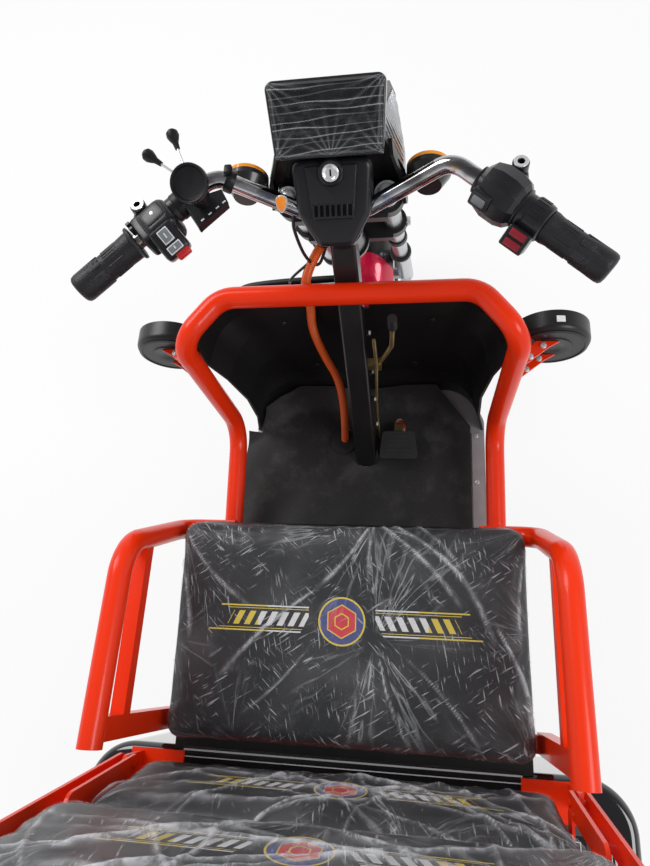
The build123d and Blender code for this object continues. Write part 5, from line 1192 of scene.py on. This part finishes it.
def padded_form(name, place, half_x, half_y, thick, corner, cap, pull, crown):
    """A stuffed pad on its board: a rounded slab, remeshed, blown up as cloth, and smoothed."""
    slab = bmesh.new()
    outline = rounded_outline([(-half_x, -half_y), (half_x, -half_y), (half_x, half_y), (-half_x, half_y)], corner, 8)
    cut_plate(slab, outline, thick, Matrix.Identity(4), min(0.014, thick * 0.4), 4)
    bmesh.ops.recalc_face_normals(slab, faces=slab.faces)
    mesh = bpy.data.meshes.new(name)
    slab.to_mesh(mesh)
    slab.free()
    piece = bpy.data.objects.new(name, mesh)
    scene.collection.objects.link(piece)
    remesh = piece.modifiers.new("remesh", "REMESH")
    remesh.mode = "VOXEL"
    remesh.voxel_size = 0.006
    bake_modifiers(piece)
    count = len(piece.data.vertices)
    rest = np.empty(count * 3, dtype=np.float32)
    piece.data.vertices.foreach_get("co", rest)
    rest = rest.reshape(-1, 3)
    cloth = piece.modifiers.new("cloth", "CLOTH")
    cloth.settings.use_pressure = True
    cloth.settings.uniform_pressure_force = 4.0
    cloth.settings.effector_weights.gravity = 0
    for step in range(1, 21):
        scene.frame_set(step)
    blown = evaluated_copy(piece)
    grown = np.empty(count * 3, dtype=np.float32)
    blown.vertices.foreach_get("co", grown)
    grown = grown.reshape(-1, 3)
    scene.frame_set(1)
    piece.modifiers.clear()
    moved = grown - rest
    far = np.linalg.norm(moved, axis=1, keepdims=True)
    moved *= np.minimum(1, cap / np.maximum(far, 1e-9))
    low = np.clip(rest[:, 2:3] / (thick * 0.3), 0, 1)
    moved *= low
    local = rest + moved
    u, v = local[:, 0] / half_x, local[:, 1] / half_y
    local[:, 0] *= 1 - pull * (1 - np.clip(np.abs(v), 0, 1) ** 3) * np.abs(u) ** 5
    local[:, 1] *= 1 - pull * (1 - np.clip(np.abs(u), 0, 1) ** 3) * np.abs(v) ** 5
    dome = (1 - np.clip(np.abs(u), 0, 1) ** 3) * (1 - np.clip(np.abs(v), 0, 1) ** 3)
    local[:, 2] += crown * dome * (local[:, 2] > thick * 0.55)
    seam = np.exp(-((local[:, 2] - thick * 0.36) / 0.0035) ** 2) * (np.maximum(np.abs(u), np.abs(v)) > 0.9)
    local[:, 0] -= 0.0016 * seam * np.sign(local[:, 0]) * (np.abs(u) > 0.93)
    local[:, 1] -= 0.0016 * seam * np.sign(local[:, 1]) * (np.abs(v) > 0.93)
    piece.data.vertices.foreach_set("co", local.astype(np.float32).ravel())
    smooth = piece.modifiers.new("smooth", "SUBSURF")
    smooth.levels = smooth.render_levels = 1
    bake_modifiers(piece)
    piece.data.transform(place)
    piece.data.polygons.foreach_set("use_smooth", [True] * len(piece.data.polygons))
    return piece


def film_shell(pad, place, thick, lift, folds, depth, seed, drop):
    """The clear film over a pad: its upper faces, stood off and drawn into long folds."""
    inverse = place.inverted()
    shell = bmesh.new()
    shell.from_mesh(pad.data)
    gone = [f for f in shell.faces if (inverse @ f.calc_center_median()).z < thick * (1 - drop)]
    bmesh.ops.delete(shell, geom=gone, context="FACES")
    layer = shell.verts.layers.float.new("fold_highlight")
    shell.verts.ensure_lookup_table()
    shell.normal_update()
    count = len(shell.verts)
    world_at = np.array([v.co[:] for v in shell.verts])
    normals = np.array([v.normal[:] for v in shell.verts])
    turn = np.array(inverse.to_3x3())
    local = world_at @ turn.T + np.array(inverse.translation)
    x, y = local[:, 0], local[:, 1]
    rng = np.random.default_rng(seed)
    fold_highlight = np.zeros(count)
    height = np.zeros(count)
    for (ax, ay), (bx, by), bow, width, strength in folds:
        span = np.array([bx - ax, by - ay])
        length = np.linalg.norm(span)
        span /= length
        t = ((x - ax) * span[0] + (y - ay) * span[1]) / length
        off = (x - ax) * -span[1] + (y - ay) * span[0] - bow * np.sin(np.pi * np.clip(t, 0, 1))
        body = np.clip(t / 0.08, 0, 1) * np.clip((1 - t) / 0.25, 0, 1)
        spread = width * (0.35 + 0.65 * np.clip(t, 0, 1))
        ridge = np.exp(-(off / spread) ** 2) * body * strength
        height += ridge
        # strength of the painted highlight that the film carries along each fold
        fold_highlight += 0.95 * np.exp(-(off / (spread * 0.6)) ** 2) * body * strength
    for _ in range(26):
        angle = rng.uniform(0, 2 * np.pi)
        size = rng.uniform(70, 230)
        phase = rng.uniform(0, 2 * np.pi)
        wander = 0.8 * np.sin(rng.uniform(10, 26) * (x * np.cos(angle) + y * np.sin(angle)) + phase)
        height += 0.035 * np.sin(size * (x * np.cos(angle) - y * np.sin(angle)) + 3.0 * wander + phase)
    stand = lift + depth * np.clip(height, -0.15, 1.4)
    moved = world_at + normals * stand[:, None]
    for vert, co, c in zip(shell.verts, moved, fold_highlight):
        vert.co = co
        vert[layer] = float(min(1.0, c))
    return shell


def vinyl_finish(name, badge_at, badge_up):
    """Black vinyl with a printed badge; badge_up(axes) gives the distance up the pad's face."""
    finish = Finish(name, Specular_IOR_Level=0.35)
    across, along, rise = finish.axes()
    badge_scale = 1.12
    x = (across - badge_at) * (1 / badge_scale)
    y = badge_up(across, along, rise) * (1 / badge_scale)
    cloud = finish.noise(0.05, 4)
    base = finish.mix(cloud, (0.0075, 0.008, 0.0095), (0.0135, 0.0142, 0.0165))
    gold, white = (0.66, 0.5, 0.045), (0.66, 0.66, 0.66)
    far = (x * x + y * y) ** 0.5
    six = abs(x).top(abs(x) * 0.5 + abs(y) * 0.866)
    base = finish.mix(far < 0.031, base, gold)
    base = finish.mix(far < 0.0288, base, (0.05, 0.062, 0.21))
    base = finish.mix(six < 0.019, base, gold)
    base = finish.mix(six < 0.0176, base, (0.56, 0.03, 0.045))
    base = finish.mix((six < 0.0095) * (six > 0.008), base, gold)
    reach = abs(x)
    lean = reach + 0.5 * y
    span = (reach > 0.044) * (lean > 0.046)
    rails = (abs(y) > 0.015) * (abs(y) < 0.0168) * span * (lean < 0.172)
    inner_rails = (abs(y) > 0.0122) * (abs(y) < 0.013) * span * (lean < 0.16)
    dashes = ((lean * 420.0).wave() > -0.15) * (abs(y) < 0.0088) * span * (lean < 0.15)
    base = finish.mix(rails, base, finish.mix(reach > 0.1, white, gold))
    base = finish.mix(inner_rails, base, gold)
    base = finish.mix(dashes * 0.95, base, finish.mix(reach > 0.112, white, gold))
    finish.set(Base_Color=base, Roughness=0.34 + 0.14 * cloud)
    finish.relief(finish.noise(0.0012, 3), 0.00022)
    return finish


def film_finish(name, centres, milk, plane_up, density=1.0):
    """Clear film: painted highlights, as fine streaks that run out from each centre, short glints and whiter lines
    along its folds.
    """
    finish = Finish(name, IOR=1.45, Specular_IOR_Level=0.5)
    finish.material.surface_render_method = "BLENDED"
    across, along, rise = finish.axes()
    up = plane_up(across, along, rise)
    fold_highlight = finish.node("ShaderNodeAttribute", {"attribute_name": "fold_highlight"}, output=2)
    painted_streaks = None
    for cx, cy, spokes, run, strength in centres:
        dx, dy = across - cx, up - cy
        far = (dx * dx + dy * dy) ** 0.5
        swing = dx.math("ARCTAN2", dy, dx)
        at = finish.node("ShaderNodeCombineXYZ", inputs={0: swing * spokes, 1: far * 9.0, 2: cx * 40 + cy * 17})
        field = finish.node("ShaderNodeTexNoise", inputs={"Vector": at, "Scale": 1.0, "Detail": 2.0, "Roughness": 0.55})
        thin = (1.0 - abs(field - 0.5) * 22.0).top(0.0)
        broken = finish.node("ShaderNodeTexNoise", inputs={"Vector": at, "Scale": 0.31, "Detail": 2.0}).step(0.46, 0.62)
        fade = (1.0 - far * (1 / run)).top(0.0) * far.step(0.006, 0.03)
        here = thin * broken * fade * strength
        painted_streaks = here if painted_streaks is None else painted_streaks.top(here)
    crinkle = finish.noise(0.02, 4, 0.62)
    for angle, long, short, patch in ((0.55, 0.03, 0.003, 0.06), (-0.75, 0.024, 0.0026, 0.052),
                                      (1.75, 0.026, 0.003, 0.068)):
        at = finish.node("ShaderNodeMapping", {"vector_type": "TEXTURE"},
                         {"Vector": finish.place(), "Rotation": (0, 0, angle), "Scale": (long, short, long)})
        glint = finish.node("ShaderNodeTexNoise", inputs={"Vector": at, "Scale": 1.0, "Detail": 1.5}).step(0.6, 0.72)
        where = finish.noise(patch, 2, at=finish.node("ShaderNodeVectorMath", {"operation": "ADD"},
                                                      {0: finish.place(), 1: (angle, 0.3, 0.7)})).step(0.49, 0.61)
        painted_streaks = painted_streaks.top(glint * where * 0.62 * density)
    haze = finish.noise(0.11, 3).step(0.4, 0.75)
    fold_highlights = 0.66 * fold_highlight * (0.35 + 0.65 * crinkle.step(0.4, 0.58))
    # the white streaks, glints and fold lines that raise the film's colour and opacity are painted highlights
    finish.set(Base_Color=finish.mix(haze, (0.62, 0.64, 0.67), (0.86, 0.87, 0.89)), Roughness=0.1 + 0.18 * haze,
               Alpha=(milk + milk * haze + 0.7 * painted_streaks + fold_highlights).least(0.9))
    finish.relief(painted_streaks * 0.6 + crinkle * 0.8 + haze * 0.4, 0.0011)
    return finish


# the driver's cushion
seat_slope = 0.1512
seat_tilt = np.arctan(seat_slope)
seat_out = Vector((0, -sin(seat_tilt), cos(seat_tilt)))
seat_mid = Vector((0, -0.012, 0.568 - seat_slope * 0.162))
seat_thick = 0.062
seat_place = looking(seat_mid - seat_out * seat_thick, (1, 0, 0), seat_out)
cushion = padded_form("cushion_stuffed", seat_place, 0.268, 0.163, seat_thick - 0.004, 0.024, 0.008, 0.004, 0.004)
for vert in cushion.data.vertices:
    spot = seat_place.inverted() @ vert.co
    rearward = min(1.0, max(0.0, 0.5 - spot.y / 0.326))
    spot.x *= 1 + 0.034 * rearward
    spot.y -= 0.0075 * rearward
    vert.co = seat_place @ spot
seat_up = lambda across, along, rise: (along + 0.012) * (1 / cos(seat_tilt))
cushion_vinyl = vinyl_finish("cushion_vinyl", -0.004, lambda a, b, c: (b - 0.003) * (1 / cos(seat_tilt)))
cushion.data.materials.append(cushion_vinyl.material)
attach(cushion, "driver_seat")
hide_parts("driver_cushion")
cushion_folds = (
    ((0.035, 0.158), (-0.045, 0.06), 0.006, 0.0055, 0.9), ((-0.045, 0.06), (-0.19, -0.075), -0.008, 0.006, 0.9),
    ((0.04, 0.158), (0.035, 0.07), -0.003, 0.004, 0.7), ((0.045, 0.16), (0.17, 0.04), 0.01, 0.005, 0.9),
    ((0.06, 0.16), (0.215, -0.01), 0.03, 0.0065, 1.0), ((0.215, 0.02), (0.262, -0.135), 0.012, 0.006, 1.0),
    ((0.1, 0.16), (0.17, 0.095), 0.006, 0.004, 0.7), ((-0.255, 0.145), (-0.14, 0.03), -0.01, 0.005, 0.7),
    ((-0.26, 0.1), (-0.235, -0.02), 0.006, 0.0055, 0.8), ((0.05, -0.03), (0.1, -0.16), -0.006, 0.0032, 0.6),
    ((0.09, -0.03), (0.2, -0.16), 0.008, 0.0034, 0.7), ((0.02, -0.03), (0.01, -0.15), 0.004, 0.003, 0.45),
    ((0.255, 0.11), (0.25, -0.01), -0.006, 0.005, 0.7), ((-0.05, -0.02), (-0.15, -0.12), 0.006, 0.0034, 0.6),
)
cushion_film = film_finish("cushion_film", (
    (0.045, -0.01, 7.0, 0.21, 0.75), (0.042, 0.16, 8.0, 0.18, 0.9), (-0.262, 0.158, 9.0, 0.13, 0.9),
    (0.262, 0.158, 9.0, 0.12, 0.9), (-0.268, -0.02, 10.0, 0.09, 0.8), (0.266, -0.165, 8.0, 0.11, 0.7),
    (-0.16, -0.16, 7.0, 0.12, 0.6), (0.27, 0.01, 9.0, 0.08, 0.8),
), 0.04, seat_up)
shell = film_shell(cushion, seat_place, seat_thick, 0.0012, cushion_folds, 0.0042, 5, 0.8)
wrap = add_piece("cushion_wrap", shell, "driver_seat", cushion_film, 80, False)

# the two rear pads, which fold back on their bars
tilt = radians(7.6)
bar_dir = Vector((0, -sin(tilt), cos(tilt)))
bar_out = Vector((0, cos(tilt), sin(tilt)))
fold_point = Vector((0, -0.212, 0.52))
for word, half, low, high, front, rear, corner, seed, milk, badge_x in (
    ("lower", 0.303, -0.025, 0.178, 0.007, -0.032, 0.018, 11, 0.045, 0.01),
    ("upper", 0.325, 0.193, 0.405, 0.017, -0.027, 0.024, 23, 0.085, 0.0),
):
    thick = front - rear
    half_rise = (high - low) / 2
    back = fold_point + bar_out * rear + bar_dir * ((low + high) / 2)
    place = looking(back, (-1, 0, 0), bar_out)
    pad = padded_form(f"{word}_pad_stuffed", place, half - 0.005, half_rise - 0.005, thick - 0.004, corner, 0.007,
                      0.012, 0.004)
    pad_up = lambda a, b, c, m=(low + high) / 2: (b + 0.212) * -sin(tilt) + (c - 0.52) * cos(tilt) - m
    pad_vinyl = vinyl_finish(f"{word}_pad_vinyl", badge_x, lambda a, b, c, f=pad_up: f(a, b, c) * -1.0)
    pad.data.materials.append(pad_vinyl.material)
    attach(pad, f"{word}_backrest")
    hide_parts(f"{word}_pad")
    rng = np.random.default_rng(seed)
    folds = [((rng.uniform(-1, 1) * half, half_rise), (rng.uniform(-1, 1) * half, -half_rise * rng.uniform(0.2, 1)),
              rng.uniform(-0.02, 0.02), rng.uniform(0.004, 0.009), rng.uniform(0.5, 1.0)) for _ in range(12)]
    folds += [((-half * side, half_rise * 0.9), (-half * side * 0.45, half_rise * rng.uniform(-0.6, 0.4)),
               0.012, 0.007, 0.9) for side in (-1, 1)]
    folds += [((-half + 0.02, rng.uniform(-0.8, 0.8) * half_rise), (half - 0.02, rng.uniform(-0.8, 0.8) * half_rise),
               rng.uniform(-0.03, 0.03), 0.01, 0.6) for _ in range(3)]
    pad_film = film_finish(f"{word}_pad_film", (
        (half, half_rise, 8.0, 0.16, 0.8), (-half, half_rise, 8.0, 0.16, 0.8), (0.02, -half_rise, 7.0, 0.16, 0.7),
        (-half, -half_rise, 9.0, 0.13, 0.8), (half, -half_rise, 9.0, 0.13, 0.8), (0.1, half_rise, 8.0, 0.15, 0.7),
    ), milk, pad_up, 0.7)
    shell = film_shell(pad, place, thick, 0.0014, folds, 0.005, seed + 1, 0.86)
    wrap = add_piece(f"{word}_pad_wrap", shell, f"{word}_backrest", pad_film, 80, False)

# ------------------------------------------------------------------ seat pan, battery box and battery
# A pressed pan under the cushion, and below it a black steel box open at the top, with the
# battery's plain case standing in it. A black rubber strip in the gap behind the cushion is
# painted shade: it stands in for the dark there.
dress(black_paint, "seat_pan", "battery_box")
dress(case_plastic, "battery_pack")

# painted shade: a black strip that darkens the gap behind the cushion
gap_shade_strip = bmesh.new()
block(gap_shade_strip, (0, -0.172, 0.4585), (0.54, 0.04, 0.003), None, 0.001, 1)
add_piece("seat_gap_shade", gap_shade_strip, "chassis", soft_rubber)

# ------------------------------------------------------------------ rear fenders and the apron between them
# Moulded glossy black plastic. White lines and a grey, less glossy band follow the rounded
# outline of each top: painted highlights, and a painted reflection, along its rounded edge.
fender_gloss = Finish("fender_gloss", Specular_IOR_Level=0.5, Coat_Roughness=0.05)
across, along, rise = fender_gloss.axes()
outer_x, half_long, corner = 0.408, 0.303, 0.072      # the outline that the stripes follow
from_axle = along - rear_axle_y
box_x = (abs(across) - (outer_x - corner)).top(0.0)
box_y = (abs(from_axle) - (half_long - corner)).top(0.0)
outline_in = corner - (box_x * box_x + box_y * box_y) ** 0.5
flat_in = (outer_x - abs(across)).least(half_long - abs(from_axle))
both_in = (abs(across) > outer_x - corner) * (abs(from_axle) > half_long - corner)
inward_run = both_in * outline_in + (1.0 - both_in) * flat_in
on_top = rise.step(0.452, 0.455)
# painted highlights: white lines along the rounded outline of the top, and a painted grey reflection band
painted_highlight_lines = ((inward_run > 0.0345) * (inward_run < 0.0375)).top((inward_run > 0.08) * (inward_run < 0.0815))
painted_highlight_lines = painted_highlight_lines.top((inward_run > 0.0405) * (inward_run < 0.0415)) * on_top
painted_grey_band = (inward_run > 0.043) * (inward_run < 0.073) * on_top
cloud = fender_gloss.noise(0.12, 3)
scuff = fender_gloss.noise(0.03, 5, 0.7, stretch=(1, 0.2, 1)).step(0.62, 0.8)
shell_colour = fender_gloss.mix(cloud, (0.007, 0.007, 0.008), (0.013, 0.013, 0.014))
shell_colour = fender_gloss.mix(painted_grey_band, shell_colour, (0.06, 0.062, 0.066))
shell_colour = fender_gloss.mix(painted_highlight_lines, shell_colour, (0.62, 0.63, 0.64))
fender_gloss.set(Base_Color=shell_colour, Roughness=0.1 + 0.1 * scuff + 0.22 * painted_grey_band, Coat_Weight=0.7 - 0.5 * painted_grey_band)
fender_gloss.relief(0.5 * cloud - 0.5 * painted_highlight_lines, 0.0004)
dress(fender_gloss, "rear_fender_left", "rear_fender_right")
apron = Finish("apron_gloss", Coat_Weight=0.6, Coat_Roughness=0.06)
across, along, rise = apron.axes()
run = -0.187 - along
# painted highlights: two white lines across the apron's top behind the cushion
line = ((run > 0.004) * (run < 0.0065)).top((run > 0.014) * (run < 0.0155)) * rise.step(0.46, 0.461)
cloud = apron.noise(0.1, 3)
apron.set(Base_Color=apron.mix(line, apron.mix(cloud, (0.007, 0.007, 0.008), (0.013, 0.013, 0.014)), (0.6, 0.61, 0.62)),
          Roughness=0.12 + 0.1 * cloud)
apron.relief(cloud, 0.0003)
dress(apron, "rear_apron")

# ------------------------------------------------------------------ tail lamps
# Rounded boxes of ribbed red plastic with an amber part at the outside, in a black case.
tail = Finish("tail_lens", Coat_Weight=0.6, Coat_Roughness=0.03)
across, along, rise = tail.axes()
lit = along < -0.799
amber_part = abs(across) > 0.352
cloud = tail.noise(0.02, 2)
tail_red = tail.mix(cloud, (0.34, 0.004, 0.006), (0.48, 0.008, 0.01))
tail_red = tail.mix(amber_part, tail_red, (0.8, 0.22, 0.012))
tail.set(Base_Color=tail.mix(lit, (0.012, 0.012, 0.013), tail_red), Roughness=0.22 - 0.1 * lit + 0.05 * cloud)
tail.relief((((across * 650.0).wave()) * ((rise * 650.0).wave())).step(-0.6, 0.6) * lit, 0.0004)
dress(tail, "tail_lamps")

# ------------------------------------------------------------------ rear axle and springs
# The axle tube with the hub motor's housing in its middle, clamped under two packs of
# flat spring leaves with hexagon bolts.
axle_cast = plain_finish("axle_cast", (0.016, 0.016, 0.017), (0.036, 0.036, 0.038), 0.03,
                         0.46, 0.18, 0.0016, 0.00025)
spring_steel = plain_finish("spring_steel", (0.035, 0.034, 0.034), (0.075, 0.07, 0.066), 0.02,
                            0.4, 0.18, 0.001, 0.00008, Metallic=0.6)
dress(axle_cast, "rear_axle")
dress(spring_steel, "leaf_springs")
spring_x = 0.19
bolts = bmesh.new()
for side in (-1, 1):
    for x in (-0.016, 0.016):
        for y in (-0.02, 0.02):
            hex_bolt(bolts, (side * spring_x + x, rear_axle_y + y, 0.256), (0, 0, 1), 0.011, 0.006)
motor_fins = bmesh.new()
for index in range(12):
    turn = 2 * pi * index / 12
    spot = (0.1222, rear_axle_y + 0.066 * cos(turn), wheel_radius + 0.066 * sin(turn))
    hex_bolt(bolts, spot, (1, 0, 0), 0.007, 0.004, False)
add_piece("axle_bolts", bolts, "chassis", bright_metal)
for index in range(5):
    at = 0.028 + index * 0.018
    turned(motor_fins, ((0.0762, -0.003), (0.08, -0.0022), (0.08, 0.0022), (0.0762, 0.003), (0.0762, -0.003)),
           (at, rear_axle_y, wheel_radius), (1, 0, 0), 56)
add_piece("motor_fins", motor_fins, "chassis", axle_cast)
